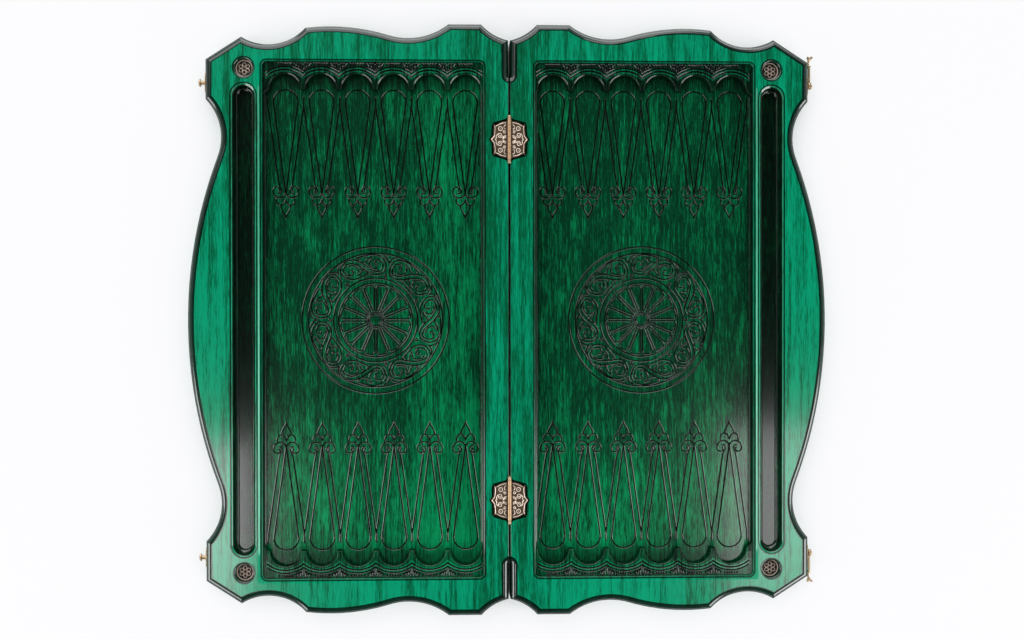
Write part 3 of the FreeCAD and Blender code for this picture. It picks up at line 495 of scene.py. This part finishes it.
class Nodes:
    """The nodes of a material or a world, with short ways to add more."""

    def __init__(self, owner):
        owner.use_nodes = True
        self.tree = owner.node_tree
        self.tree.nodes.clear()

    def add(self, kind, *values, **named):
        """A new node with its inputs linked or set, in order or by name."""
        node = self.tree.nodes.new(kind)
        for socket, value in zip(node.inputs, values):
            self.put(socket, value)
        for name, value in named.items():
            self.put(node.inputs[name], value)
        return node

    def put(self, socket, value):
        """Links an output to the socket, or sets the socket to a plain value."""
        if isinstance(value, bpy.types.NodeSocket):
            self.tree.links.new(value, socket)
        else:
            socket.default_value = value

    def maths(self, kind, *values):
        """A maths node on numbers or outputs."""
        node = self.add("ShaderNodeMath", *values)
        node.operation = kind
        return node.outputs[0]

    def chain(self, kind, values):
        """The same maths on all of the values, one after the other."""
        result = values[0]
        for value in values[1:]:
            result = self.maths(kind, result, value)
        return result

    def times(self, *values):
        """The product of the values."""
        return self.chain("MULTIPLY", values)

    def most(self, *values):
        """The largest of the values."""
        return self.chain("MAXIMUM", values)

    def less(self, value, amount):
        """The value with an amount taken off."""
        return self.maths("SUBTRACT", value, amount)

    def weighed(self, *pairs):
        """The sum of some values, each times its weight."""
        return self.chain("ADD", [self.times(value, weight) for value, weight in pairs])

    def step(self, value, low, high, least=0.0):
        """The least value below low and 1 above high, with a soft rise between."""
        if low < high:
            return self.ranged("SMOOTHSTEP", value, low, high, least, 1.0)
        return self.ranged("SMOOTHSTEP", value, high, low, 1.0, least)

    def scaled(self, value, low, high, start=0.0, end=1.0):
        """A value between start and end taken to run from low to high."""
        return self.ranged("LINEAR", value, start, end, low, high)

    def ranged(self, kind, *values):
        """A map range node: its value, then its from and to ends."""
        node = self.add("ShaderNodeMapRange", *values)
        node.interpolation_type = kind
        return node.outputs["Result"]

    def shown(self, output, share, first, second):
        """Shows a blend of two shaders at the output."""
        blend = self.add("ShaderNodeMixShader", share, first, second)
        self.add(output, Surface=blend.outputs[0])


class Finish(Nodes):
    """A material made of nodes, in the piece's own coordinates in millimetres."""

    def __init__(self, name):
        self.material = bpy.data.materials.new(name)
        super().__init__(self.material)
        self.colours = bpy.context.scene.board_colours
        self.shader = self.add("ShaderNodeBsdfPrincipled")
        self.add("ShaderNodeOutputMaterial", Surface=self.shader.outputs[0])
        where = self.add("ShaderNodeTexCoord")
        self.place = self.changed("MULTIPLY", where.outputs["Object"], (1 / MM,) * 3)
        self.x, self.y, self.z = self.add("ShaderNodeSeparateXYZ", self.place).outputs

    def changed(self, kind, place, change):
        """A place after the same maths on each of its axes."""
        node = self.add("ShaderNodeVectorMath", place, change)
        node.operation = kind
        return node.outputs[0]

    def noise(self, stretch, detail=4, rough=0.6, warp=0.0, shift=None):
        """Noise of about one grain per millimetre, times the stretch on each axis."""
        place = self.place
        if shift is not None:
            place = self.changed("ADD", place, shift)
        place = self.changed("MULTIPLY", place, stretch)
        return self.add("ShaderNodeTexNoise", Vector=place, Scale=1, Detail=detail,
                        Roughness=rough, Distortion=warp).outputs["Fac"]

    def mix(self, share, first, second, kind="MIX"):
        """A blend of two colours."""
        node = self.add("ShaderNodeMix")
        node.data_type = "RGBA"
        node.blend_type = kind
        self.put(node.inputs[0], share)
        for index, colour in ((6, first), (7, second)):
            plain = not isinstance(colour, bpy.types.NodeSocket)
            self.put(node.inputs[index], (*colour, 1.0) if plain else colour)
        return node.outputs[2]

    def distance(self, x, y, middle_x, middle_y):
        """Distance in plan from a middle."""
        across = self.maths("POWER", self.less(x, middle_x), 2.0)
        along = self.maths("POWER", self.less(y, middle_y), 2.0)
        return self.maths("SQRT", self.maths("ADD", across, along))

    def vector(self, x, y, z):
        """Three numbers or outputs put together."""
        return self.add("ShaderNodeCombineXYZ", x, y, z).outputs[0]

    def carved(self, low, high):
        """A soft rise over how deep in a carved line this spot is."""
        node = self.add("ShaderNodeAttribute")
        node.attribute_name = "carved"
        return self.step(node.outputs["Fac"], low, high)

    def grazing(self):
        """0 for surfaces seen face on, rising to 1 for those seen along their length."""
        node = self.add("ShaderNodeLayerWeight", Blend=0.5)
        return self.step(node.outputs["Facing"], 0.42, 0.72)

    def tight(self, reach, low, high):
        """Painted shade from occlusion: 1 in tight corners, falling to 0 on open faces; the
        reach is in millimetres.
        """
        node = self.add("ShaderNodeAmbientOcclusion", Distance=reach * MM)
        node.samples = 8
        return self.step(node.outputs["AO"], low, high)

    def surface(self, colour, rough, height, reach, strength):
        """Sets the colour, the roughness and the fine texture of the shader."""
        self.put(self.shader.inputs["Base Color"], colour)
        self.put(self.shader.inputs["Roughness"], rough)
        node = self.add("ShaderNodeBump", Distance=reach * MM, Strength=strength,
                        Height=height)
        self.put(self.shader.inputs["Normal"], node.outputs[0])


class StainedWood(Finish):
    """Green stain over fine upright grain, with dark stain in hollows and painted shade by
    walls and edges.

    The steps below are soft edges in millimetres. The field's floor is at a height
    of 16, its shelves at 25, the lip at 27.2 and the rim at 28.
    """

    def __init__(self, name):
        super().__init__(name)
        self.ax = self.maths("ABSOLUTE", self.x)
        self.ay = self.maths("ABSOLUTE", self.y)
        self.draw_grain()
        self.find_places()
        # Dark stain and painted shade laid over the green stain.
        colour = self.mix(self.patina_and_shade(), self.stain(), self.colours.patina_and_shade)
        # Painted highlight along the strip between field and trough.
        colour = self.mix(self.strip_highlight(), colour, self.colours.strip_highlight_colour)
        height = self.weighed((self.threads, 0.6), (self.pores, 0.4))
        self.surface(colour, self.scaled(self.threads, 0.12, 0.20), height, 0.04, 0.4)
        matte = self.matte()
        sheen = self.less(1.0, self.grazing())
        self.put(self.shader.inputs["Coat Weight"],
                 self.times(self.scaled(matte, 0.8, 0.06), sheen))
        self.put(self.shader.inputs["Specular IOR Level"],
                 self.times(self.scaled(matte, 0.5, 0.12), sheen))
        self.shader.inputs["Coat Roughness"].default_value = 0.09

    def draw_grain(self):
        """Noises of the grain, each stave's from a place of its own in them."""
        tones = []
        joints = []
        for side, sign in SIDES.items():
            for seam, change in zip(GLUE_LINES[side], STAVE_TONES):
                past = self.maths("GREATER_THAN", self.times(self.x, sign), seam)
                tones.append((past, change * sign))
                joints.append(self.maths("COMPARE", self.x, sign * seam, JOINT_HALF_WIDTH))
        self.tone = self.weighed(*tones)
        self.joint = self.most(*joints)
        shift = self.vector(self.times(self.tone, 37.0), self.times(self.tone, 91.0), 0.0)
        self.threads = self.noise((2.6, 0.08, 0.8), 4, 0.65, 0.0, shift)
        self.fibres = self.noise((1.25, 0.065, 0.5), 4, 0.72, 0.2, shift)
        self.streaks = self.noise((0.36, 0.014, 0.3), 4, 0.62, 0.4, shift)
        self.bands = self.noise((0.11, 0.005, 0.11), 3, 0.5, 0.6, shift)
        self.ripple = self.noise((0.26, 0.08, 0.1), 4, 0.65, 1.2, shift)
        self.pores = self.noise((3.4, 0.12, 1.0), 3, 0.6, 0.0, shift)
        clouds = self.noise((0.045, 0.015, 0.03), 5, 0.66, 1.0, shift)
        blot = self.weighed((clouds, 0.7), (self.ripple, 0.3))
        near = self.step(self.y, -60.0, -200.0)
        bright = self.times(self.step(self.x, -125.0, -60.0), self.step(self.x, 0.0, -5.0))
        lift = self.less(self.weighed((near, 0.055), (bright, 0.042)), 0.018)
        self.grain = self.maths("ADD", self.weighed(
            (self.fibres, 0.47), (self.streaks, 0.25), (blot, 0.28)), lift)

    def find_places(self):
        """Shares of the parts of the board, in plan and in height."""
        ax, ay, z, step, times = self.ax, self.ay, self.z, self.step, self.times
        self.field_plan = times(step(ax, 254.5, 253.5), step(ay, 265.5, 264.5),
                                step(ax, 21.5, 22.5))
        across = self.maths("ABSOLUTE", self.less(ax, TROUGH_CENTRE))
        self.trough_plan = times(step(across, 15.0, 14.5), step(ay, 241.5, 240.5))
        self.medal_plan = step(self.distance(ax, ay, *MEDAL_PLACE), 12.2, 11.8)
        below_lip = times(step(z, 26.9, 26.3), step(z, 8.0, 9.0))
        self.in_field = times(self.field_plan, below_lip)
        self.in_trough = times(self.trough_plan, below_lip)
        self.beside_arch = self.maths("PINGPONG", self.less(ax, FIRST_ARCH), ARCH_PITCH / 2)
        from_border = self.distance(self.beside_arch, ay, 0.0, BORDER_CENTRE)
        self.band = self.most(*(times(step(from_border, inner - 0.3, inner + 0.3),
                                      step(from_border, outer + 0.3, outer - 0.3))
                                for inner, outer in BORDER_BANDS))
        self.shelf = times(step(ay, 226.0, 229.0), self.in_field, step(z, 22.0, 24.0),
                           self.scaled(step(self.grain, 0.40, 0.60), 0.95, 0.6),
                           self.scaled(self.band, 1.0, 0.15))
        self.groove = self.carved(0.01, 0.16)

    def stain(self):
        """Two greens along the grain: paler on the rim, darker in the field."""
        near_seam = self.step(self.ax, 60.0, 20.0)
        far_end = self.step(self.y, 40.0, 240.0)
        rim_grain = self.weighed((self.fibres, 0.45), (self.streaks, 0.28),
                                 (self.bands, 0.27), (near_seam, -0.045), (far_end, -0.02))
        rim = self.mix(self.step(rim_grain, 0.39, 0.55), self.colours.rim_dark,
                       self.colours.rim_light)
        field = self.mix(self.step(self.grain, 0.457, 0.632),
                         self.colours.field_dark, self.colours.field_light)
        colour = self.mix(self.most(self.in_field, self.in_trough), rim, field)
        light = self.scaled(self.tone, 0.96, 1.06)
        colour = self.mix(1.0, colour, self.vector(light, light, light), "MULTIPLY")
        pored = self.times(self.step(self.pores, 0.60, 0.72),
                           self.scaled(self.in_field, 0.3, 0.55))
        colour = self.mix(pored, colour, self.colours.field_dark)
        on_band = self.times(self.band, self.step(self.z, 24.0, 24.5),
                             self.scaled(self.step(self.fibres, 0.4, 0.6), 0.0, 0.35),
                             self.in_field)
        return self.mix(on_band, colour, self.colours.rim_light)

    def patina_and_shade(self):
        """Where the colour darkens: dark stain in grooves, on shelves and at joints, and
        painted shade by walls, arches, lips, bores, corners and moulding.
        """
        ax, ay, z, step, times = self.ax, self.ay, self.z, self.step, self.times
        # Dark stain and painted shade in a band along the field's side walls.
        wall = self.maths("MINIMUM", self.less(ax, 26.8), self.less(248.3, ax))
        wall = self.maths("ADD", wall, times(self.less(self.ripple, 0.5), 8.0))
        wall = times(step(wall, 6.0, 0.0), self.in_field)
        below_shelf = times(self.in_field, step(z, 24.5, 23.5))
        # Dark stain and painted shade in the niches under the arches.
        arch = times(step(ay, 226.0, 243.0), below_shelf)
        # Painted shadow and dark stain just inside each arch's wall.
        from_arch = self.less(self.distance(self.beside_arch, ay, 0.0, ARCH_CENTRE),
                              ARCH_RADIUS)
        under_arch = times(step(from_arch, -6.0, -0.5), step(ay, 230.0, 238.0), below_shelf)
        # Painted shade and dark stain on the field's upright walls.
        upright = times(step(z, 16.1, 16.5), step(z, 24.6, 24.0), self.in_field)
        # Painted shade on the field's rounded lip, darker lower down.
        lip = times(self.scaled(step(z, 26.9, 26.2), 0.5, 0.75), self.field_plan,
                    step(z, 25.05, 25.25), step(z, 27.25, 27.15))
        # Painted shadow line on the risers of the steps below the rim.
        flat = times(step(z, 27.18, 27.27), step(z, 27.95, 27.7))
        # Painted shade in the medals' bores.
        bore = times(step(z, 27.95, 27.1), self.medal_plan, step(z, 8.0, 9.0))
        # Dark stain and painted shade in the trough, lighter towards its inner side.
        trough_stain_and_shade = times(self.scaled(step(self.fibres, 0.42, 0.62), 1.0, 0.86),
                       self.in_trough, self.scaled(step(ax, 263.0, 256.5), 1.0, 0.72))
        lipped = self.most(self.field_plan, self.trough_plan, self.medal_plan)
        # Painted shade on the outer moulding and sides, so that only their reflections show.
        moulding = times(step(z, 27.95, 27.6), self.less(1.0, lipped), step(z, 20.0, 21.0))
        # The tight corners term is painted shade found by occlusion.
        shares = ((wall, 0.8), (arch, 0.45), (self.tight(4.0, 0.8, 0.3), 0.95),
                  (self.joint, 0.4), (trough_stain_and_shade, 0.88), (lip, 1.0), (moulding, 0.93),
                  (flat, 0.85), (bore, 0.9), (upright, 0.85), (under_arch, 0.7))
        return self.most(self.groove, self.shelf,
                         *(times(share, worth) for share, worth in shares))

    def strip_highlight(self):
        """Painted highlight down the middle of the strip between field and trough, stronger
        towards the near end.
        """
        across = self.maths("ABSOLUTE", self.less(self.ax, DIVIDER_CENTRE))
        return self.times(self.step(across, 0.85, 0.4), self.step(self.z, 27.9, 27.98),
                          self.step(self.ay, 238.0, 232.0),
                          self.scaled(self.step(self.y, 160.0, -120.0), 0.3, 0.85))

    def matte(self):
        """Where the lacquer is dull: shelves, insides of grooves, and sharp borders."""
        ax, y, step, times = self.ax, self.y, self.step, self.times
        shelf = times(self.shelf, 0.85, self.less(1.0, self.groove))
        chamfer = times(self.groove, self.scaled(step(y, -90.0, 60.0), 0.05, 0.72),
                        step(self.z, 17.0, 16.5))
        ledge = times(step(ax, 247.0, 247.6), step(ax, 250.6, 250.2), self.in_field, 0.85)
        cusp = times(step(self.beside_arch, 15.0, 15.6), step(y, -226.0, -227.0),
                     step(y, -238.0, -236.0), self.in_field)
        lip_sides = self.most(step(self.ay, 226.0, 240.0), step(ax, 180.0, 230.0))
        lip = times(lip_sides, 0.95, step(self.z, 25.05, 25.25), self.field_plan)
        return self.most(shelf, chamfer, self.carved(0.47, 0.60), ledge, cusp, lip)


class Metal(Finish):
    """Cast metal: its ground, its drawn lines and painted shade in its corners."""

    def __init__(self, name, ground, lines, hollow_tone_and_shade, rough, shine, top=None,
                 top_wear_and_highlight=None):
        super().__init__(name)
        cloud = self.noise((0.5, 0.5, 0.5))
        grain = self.noise((4.0, 4.0, 4.0), 3)
        colour = self.mix(self.step(cloud, 0.3, 0.7), ground,
                          [0.7 * a + 0.3 * b for a, b in zip(ground, hollow_tone_and_shade)])
        colour = self.mix(self.carved(0.15, 0.6), colour, lines)
        # Above a height the top takes its own colour: a painted highlight along the hinges'
        # barrel, and the bright ring on the medals.
        if top is not None:
            colour = self.mix(self.step(self.z, top - 0.15, top - 0.05), colour,
                              top_wear_and_highlight)
        # Painted shade in the metal's corners, found by occlusion.
        hidden = self.times(self.tight(1.2, 0.7, 0.25), 0.7)
        colour = self.mix(hidden, colour, hollow_tone_and_shade)
        self.shader.inputs["Metallic"].default_value = shine
        height = self.maths("ADD", grain, self.times(cloud, 0.6))
        self.surface(colour, self.scaled(grain, rough - 0.06, rough + 0.1), height, 0.05, 0.4)


class ScrewBrass(Finish):
    """Countersunk screws: bright ring, dark recess and bright middle."""

    def __init__(self, name):
        super().__init__(name)
        ay = self.maths("ABSOLUTE", self.y)
        along = self.maths("ABSOLUTE", self.less(ay, HINGE_PLACE))
        out = self.distance(self.maths("ABSOLUTE", self.x), along, *SCREW_PLACE)
        recess = self.times(self.step(out, 0.45, 0.7), self.step(out, 1.75, 1.5))
        grain = self.noise((4.0, 4.0, 4.0), 3)
        colour = self.mix(recess, self.colours.bronze_light,
                          self.colours.brass_dark)
        self.shader.inputs["Metallic"].default_value = 0.4
        self.surface(colour, self.scaled(grain, 0.45, 0.65), self.less(grain, recess),
                     0.1, 0.5)


def finish_of(name):
    """The board's finishes, each made once."""
    if name in bpy.data.materials:
        return bpy.data.materials[name]
    colours = bpy.context.scene.board_colours
    if name == "green_stained_wood":
        return StainedWood(name).material
    if name == "screw_brass":
        return ScrewBrass(name).material
    metals = {
        # The hinges' barrel gets a painted highlight along its top.
        "pinkish_bronze": (colours.bronze, colours.bronze_light, colours.bronze_dark,
                           0.32, 0.35, BARREL_HEIGHT, colours.barrel),
        "rubbed_brass": (colours.brass, colours.brass_dark, colours.brass_dark, 0.28, 0.5),
        "dark_bronze": (colours.medal_dark, colours.medal_gold, colours.medal_dark,
                        0.42, 0.05, MEDAL_RING_HEIGHT, colours.medal_gold),
    }
    return Metal(name, *metals[name]).material


def coat(node, name):
    """Gives a CAD node one of the finishes."""
    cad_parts[node].material_slots[0].material = finish_of(name)


# ---- settings


def colour_setting(name, about, value):
    """A colour that can be picked in the panel."""
    return bpy.props.FloatVectorProperty(name=name, description=about, default=value,
                                         subtype="COLOR", size=3, min=0.0, max=1.0)


class BoardColours(bpy.types.PropertyGroup):
    rim_light: colour_setting("Rim, light grain", "Light streaks of the rim",
                              (0.002, 0.330, 0.165))
    # Colour of the painted highlight on the strip between field and trough.
    strip_highlight_colour: colour_setting("Rubbed strip", "Pale stain between field and trough",
                           (0.30, 0.72, 0.55))
    rim_dark: colour_setting("Rim, dark grain", "Dark streaks of the rim",
                             (0.001, 0.085, 0.031))
    field_light: colour_setting("Field, light grain", "Light streaks of the field",
                                (0.002, 0.280, 0.095))
    field_dark: colour_setting("Field, dark grain", "Dark streaks of the field",
                               (0.001, 0.033, 0.013))
    # Colour of the dark stain, also used for painted shade.
    patina_and_shade: colour_setting("Patina", "Dark stain left in grooves and corners",
                           (0.002, 0.005, 0.004))
    bronze: colour_setting("Hinges", "Bronzed brass of the hinges", (0.12, 0.075, 0.048))
    bronze_light: colour_setting("Hinges, relief", "Rubbed lines of the hinges",
                                 (1.0, 0.84, 0.68))
    # Colour of the painted highlight along the top of the hinges' barrel.
    barrel: colour_setting("Hinges, barrel", "Rubbed top of the hinges' barrel",
                           (0.66, 0.43, 0.24))
    # Also the colour of the painted shade in the hinges' corners.
    bronze_dark: colour_setting("Hinges, hollows", "Dark of the hinges' corners",
                                (0.05, 0.032, 0.022))
    brass: colour_setting("Fittings", "Brass of the screws and catches", (0.66, 0.47, 0.29))
    # Also the colour of the painted shade in the fittings' corners.
    brass_dark: colour_setting("Fittings, hollows", "Dark of the fittings' hollows",
                               (0.05, 0.035, 0.02))
    medal_gold: colour_setting("Medals, relief", "Raised lines of the medals",
                               (1.0, 0.78, 0.64))
    # Also the colour of the painted shade in the medals' corners.
    medal_dark: colour_setting("Medals, ground", "Dark ground of the medals",
                               (0.020, 0.013, 0.010))


def number_setting(name, about, value, **limits):
    """A number that can be changed in the panel."""
    return bpy.props.FloatProperty(name=name, description=about, default=value, **limits)


class CarvingSizes(bpy.types.PropertyGroup):
    groove_half_width: number_setting(
        "Groove half width", "Half the width of a carved line inside its chamfers, in mm",
        0.54, min=0.3, max=1.5)
    groove_depth: number_setting("Groove depth", "Depth of a carved line, in mm",
                                 0.85, min=0.1, max=1.5)
    relief_depth: number_setting(
        "Metal relief", "Height of the raised lines on the metal, in mm",
        0.22, min=0.05, max=0.3)


class StudioSettings(bpy.types.PropertyGroup):
    key_power: number_setting("Key lamp", "Power of the large lamp beyond the far side",
                              27.0, min=0.0, unit="POWER")
    far_power: number_setting("Far lamp", "Power of the low wide lamp beyond the far side",
                              34.0, min=0.0, unit="POWER")
    low_power: number_setting("Low lamps", "Power of the two low lamps at the near corners",
                              58.0, min=0.0, unit="POWER")
    near_power: number_setting("Near lamps", "Power of the two lamps over the near side",
                               4.8, min=0.0, unit="POWER")
    sky: number_setting("Room light", "Strength of the light from all round", 0.45, min=0.0)


# ---- operators


class BOARD_OT_carved_halves(bpy.types.Operator):
    """Carve the points, rosette and border into both halves"""
    bl_idname = "board.carved_halves"
    bl_label = "Carved halves"

    def execute(self, context):
        sizes = context.scene.carving_sizes
        ends = []
        for index in range(ARCH_COUNT):
            ends += moved(point_lines(), FIRST_ARCH + ARCH_PITCH * index, 0)
        field = ends + turned_over(ends) + moved(rosette_lines(), ROSETTE_CENTRE, 0)
        border = border_lines()
        border += turned_over(border)
        for side, sign in SIDES.items():
            nodes = [f"{side}_{stave}" for stave in STAVES]
            form = form_of(nodes)
            open_glue_joints(form, side, sign)
            bevel_arches(form)
            for height, lines in ((FIELD_HEIGHT, field), (SHELF_HEIGHT, border)):
                own = lines if sign > 0 else mirrored(lines)
                carve(form, height, own, sizes.groove_half_width, sizes.groove_depth)
            piece_of(form, f"{side}_half_wood", "green_stained_wood", f"{side}_half",
                     nodes)
        return {"FINISHED"}


def open_glue_joints(form, side, sign):
    """Takes out the hidden faces between glued staves."""
    hidden = [face for face in form.faces
              if any(all(abs(v.co.x - sign * seam * MM) < 2e-6 for v in face.verts)
                     for seam in GLUE_LINES[side])]
    bmesh.ops.delete(form, geom=hidden, context="FACES")


def bevel_arches(form):
    """Gives the rounds along the far arches and trough ends the surface directions of an even
    bevel; their shape stays round.
    """
    facing = form.loops.layers.float_vector["made_normal"]
    for face in form.faces:
        middle = face.calc_center_median() / MM
        across = abs(middle.x)
        on_arch = middle.y > 226 and 26.9 < across < 248.2
        on_arch = on_arch and SHELF_HEIGHT - 1.25 < middle.z < SHELF_HEIGHT - 0.01
        on_trough = 226 < middle.y < 242 and abs(across - TROUGH_CENTRE) < 15.5
        on_trough = on_trough and SHELF_HEIGHT + 0.35 < middle.z < SHELF_HEIGHT + 2.25
        if on_arch or on_trough:
            for loop in face.loops:
                flat = Vector(loop[facing]).xy
                if flat.length < 0.05:
                    flat = face.normal.xy
                flat.normalize()
                loop[facing] = Vector((flat.x, flat.y, 1.5)).normalized()


def leaf_lines():
    """Scrollwork of a hinge leaf, x outward from the pin, about the leaf's middle."""
    rim = bent([(3.4, 17.0), (8.0, 16.1), (12.6, 13.9), (14.7, 13.2), (14.3, 11.4),
                (14.6, 8.0), (15.0, 4.2), (16.0, 2.3), (18.0, 0.0)], 0.5)
    scroll = spiral((9.4, 4.4), 2.7, 0.8, 200, 500, 0.35)
    tail = bent([(11.9, 5.6), (13.4, 3.4), (13.0, 1.4), (14.4, 0.0)], 0.4)
    curl = spiral((5.0, 7.4), 1.6, 0.6, 20, 400, 0.35)
    fan = [bent([(3.4, 2.2 + 0.9 * k), (5.2, 1.2 + 1.1 * k), (6.6, 0.5 + 0.6 * k)], 0.4)
           for k in range(3)]
    spray = bent([(3.6, 15.0), (5.2, 13.4), (5.0, 11.0), (3.6, 10.4)], 0.4)
    upper = [rim, scroll, tail, curl, spray] + fan
    return upper + turned_over(upper)


class BOARD_OT_hinges(bpy.types.Operator):
    """Finish the hinges: scrollwork on the leaves, brass on screws and pins"""
    bl_idname = "board.hinges"
    bl_label = "Hinges"

    def execute(self, context):
        relief = context.scene.carving_sizes.relief_depth
        for end, high in (("upper", 1), ("lower", -1)):
            for side, sign in SIDES.items():
                node = f"{end}_hinge_{side}_leaf"
                form = form_of([node])
                lines = moved(leaf_lines(), 0, high * HINGE_PLACE)
                own = lines if sign > 0 else mirrored(lines)
                carve(form, LEAF_HEIGHT, own, HINGE_RELIEF_HALF_WIDTH, -relief)
                piece_of(form, f"{node}_relief", "pinkish_bronze", f"{side}_half",
                         [node])
                coat(f"{end}_hinge_{side}_screws", "screw_brass")
            coat(f"{end}_hinge_pin", "rubbed_brass")
        return {"FINISHED"}


def medal_lines():
    """Generic flower of the medals, about the medal's middle."""
    petal = bent([(0, 1.6), (-1.7, 3.4), (-1.2, 5.2), (0, 6.0), (1.2, 5.2), (1.7, 3.4),
                  (0, 1.6)], 0.4)
    lines = []
    for index in range(6):
        lines += spun([petal], 60 * index)
    return lines


class BOARD_OT_medals(bpy.types.Operator):
    """Finish the four medals with a plain raised flower"""
    bl_idname = "board.medals"
    bl_label = "Medals"

    def execute(self, context):
        relief = context.scene.carving_sizes.relief_depth * MEDAL_RELIEF_SHARE
        for side, sign in SIDES.items():
            for end, high in (("upper", 1), ("lower", -1)):
                node = f"{side}_{end}_medal"
                form = form_of([node])
                lines = moved(medal_lines(), sign * MEDAL_PLACE[0], high * MEDAL_PLACE[1])
                carve(form, MEDAL_HEIGHT, lines, MEDAL_RELIEF_HALF_WIDTH, -relief)
                piece_of(form, f"{node}_relief", "dark_bronze", f"{side}_half",
                         [node])
        return {"FINISHED"}


class BOARD_OT_hook_catches(bpy.types.Operator):
    """Finish the hooks, studs, plates and nails"""
    bl_idname = "board.hook_catches"
    bl_label = "Hook catches"

    def execute(self, context):
        for end in ("upper", "lower"):
            for name in ("hook", "hook_plate", "hook_plate_nails", "hook_rivet", "stud",
                         "stud_plate", "stud_plate_nails"):
                coat(f"{end}_{name}", "rubbed_brass")
        return {"FINISHED"}


def lamp(name, power, width, height, place, aim=(0, 0, 0)):
    """A soft rectangular lamp turned to a spot."""
    data = bpy.data.lights.new(name, "AREA")
    data.shape = "RECTANGLE"
    data.size = width
    data.size_y = height
    data.energy = power
    aimed = Vector(aim) - Vector(place)
    placed(name, data, place).rotation_euler = aimed.to_track_quat("-Z", "Y").to_euler()


def studio_floor():
    """White table top that keeps the board's soft shadow, darkened further near the board by
    painted shade.
    """
    form = bmesh.new()
    bmesh.ops.create_grid(form, x_segments=1, y_segments=1, size=12.0)
    mesh = bpy.data.meshes.new("table_top")
    form.to_mesh(mesh)
    form.free()
    floor = placed("table_top", mesh, (0, 0, -0.0002))
    material = bpy.data.materials.new("white_table")
    nodes = Nodes(material)
    paper = nodes.add("ShaderNodeBsdfDiffuse", Color=(0.86, 0.86, 0.88, 1))
    glow = nodes.add("ShaderNodeEmission", Color=(0.985, 0.985, 1.0, 1))
    near = nodes.add("ShaderNodeAmbientOcclusion", Distance=0.05)
    ray = nodes.add("ShaderNodeLightPath")
    # The glow seen by the camera dims where the board is near: painted shade round the
    # board's foot.
    share = nodes.times(ray.outputs["Is Camera Ray"],
                        nodes.scaled(near.outputs["AO"], 0.0, 0.92, 0.1, 0.9))
    nodes.shown("ShaderNodeOutputMaterial", share, paper.outputs[0], glow.outputs[0])
    mesh.materials.append(material)


def room_light(strength):
    """Light from all round: brighter beyond the board's far side, dark straight above."""
    world = bpy.data.worlds.new("studio_room")
    bpy.context.scene.world = world
    nodes = Nodes(world)
    where = nodes.add("ShaderNodeTexCoord")
    x, y, z = nodes.add("ShaderNodeSeparateXYZ", where.outputs["Generated"]).outputs
    level = nodes.times(nodes.step(y, -0.8, 0.7, 0.25), nodes.step(z, 0.90, 0.60, 0.015))
    back = nodes.add("ShaderNodeBackground", Color=level, Strength=strength)
    seen = nodes.add("ShaderNodeBackground", Color=(1, 1, 1, 1))
    ray = nodes.add("ShaderNodeLightPath")
    nodes.shown("ShaderNodeOutputWorld", ray.outputs["Is Camera Ray"], back.outputs[0],
                seen.outputs[0])


class BOARD_OT_studio(bpy.types.Operator):
    """Set up the table, the lamps and the camera over the board"""
    bl_idname = "board.studio"
    bl_label = "Studio"

    def execute(self, context):
        settings = context.scene.studio_settings
        studio_floor()
        room_light(settings.sky)
        lamp("key_lamp", settings.key_power, 2.6, 1.7, (-0.6, 1.62, 1.75))
        lamp("far_lamp", settings.far_power, 3.4, 1.0, (0.1, 2.3, 0.5))
        lamp("left_overhead_lamp", settings.near_power * 0.85, 0.6, 0.45,
             (-0.93, -0.58, 2.5), (-0.93, -0.58, 0))
        lamp("right_overhead_lamp", settings.near_power * 0.57, 0.55, 0.5,
             (0.98, -0.56, 2.5), (0.98, -0.56, 0))
        lamp("left_low_lamp", settings.low_power * 0.46, 1.6, 1.0, (-1.6, -1.0, 0.8))
        lamp("right_low_lamp", settings.low_power * 0.54, 1.6, 1.0, (1.6, -1.0, 0.8))
        data = bpy.data.cameras.new("camera")
        data.sensor_width = 36.0
        data.lens = 49.40
        data.clip_start = 0.05
        camera = placed("camera", data, (-0.0545147, 0.0084219, 1.45))
        camera.rotation_euler = (-0.0055, -0.0401, -0.001)
        context.scene.camera = camera
        context.scene.view_settings.view_transform = "Standard"
        return {"FINISHED"}


OPERATORS = (BOARD_OT_carved_halves, BOARD_OT_hinges, BOARD_OT_medals,
             BOARD_OT_hook_catches, BOARD_OT_studio)


class BOARD_PT_making(bpy.types.Panel):
    """Steps that make the board"""
    bl_idname = "BOARD_PT_making"
    bl_label = "Backgammon board"
    bl_space_type = "VIEW_3D"
    bl_region_type = "UI"
    bl_category = "Board"

    def draw(self, context):
        scene = context.scene
        for group in (scene.board_colours, scene.carving_sizes, scene.studio_settings):
            box = self.layout.box()
            for name in group.bl_rna.properties.keys():
                if name not in ("rna_type", "name"):
                    box.prop(group, name)
        for operator in OPERATORS:
            self.layout.operator(operator.bl_idname)


GROUPS = (("board_colours", BoardColours), ("carving_sizes", CarvingSizes),
          ("studio_settings", StudioSettings))


def register():
    """Adds the settings, the steps and the panel."""
    for name, group in GROUPS:
        bpy.utils.register_class(group)
        setattr(bpy.types.Scene, name, bpy.props.PointerProperty(type=group))
    for operator in OPERATORS:
        bpy.utils.register_class(operator)
    bpy.utils.register_class(BOARD_PT_making)


def unregister():
    """Takes them out again."""
    bpy.utils.unregister_class(BOARD_PT_making)
    for operator in reversed(OPERATORS):
        bpy.utils.unregister_class(operator)
    for name, group in reversed(GROUPS):
        delattr(bpy.types.Scene, name)
        bpy.utils.unregister_class(group)


def main():
    """Makes the board."""
    register()
    bpy.ops.board.carved_halves()
    bpy.ops.board.hinges()
    bpy.ops.board.medals()
    bpy.ops.board.hook_catches()
    bpy.ops.board.studio()


if __name__ == "__main__":
    main()
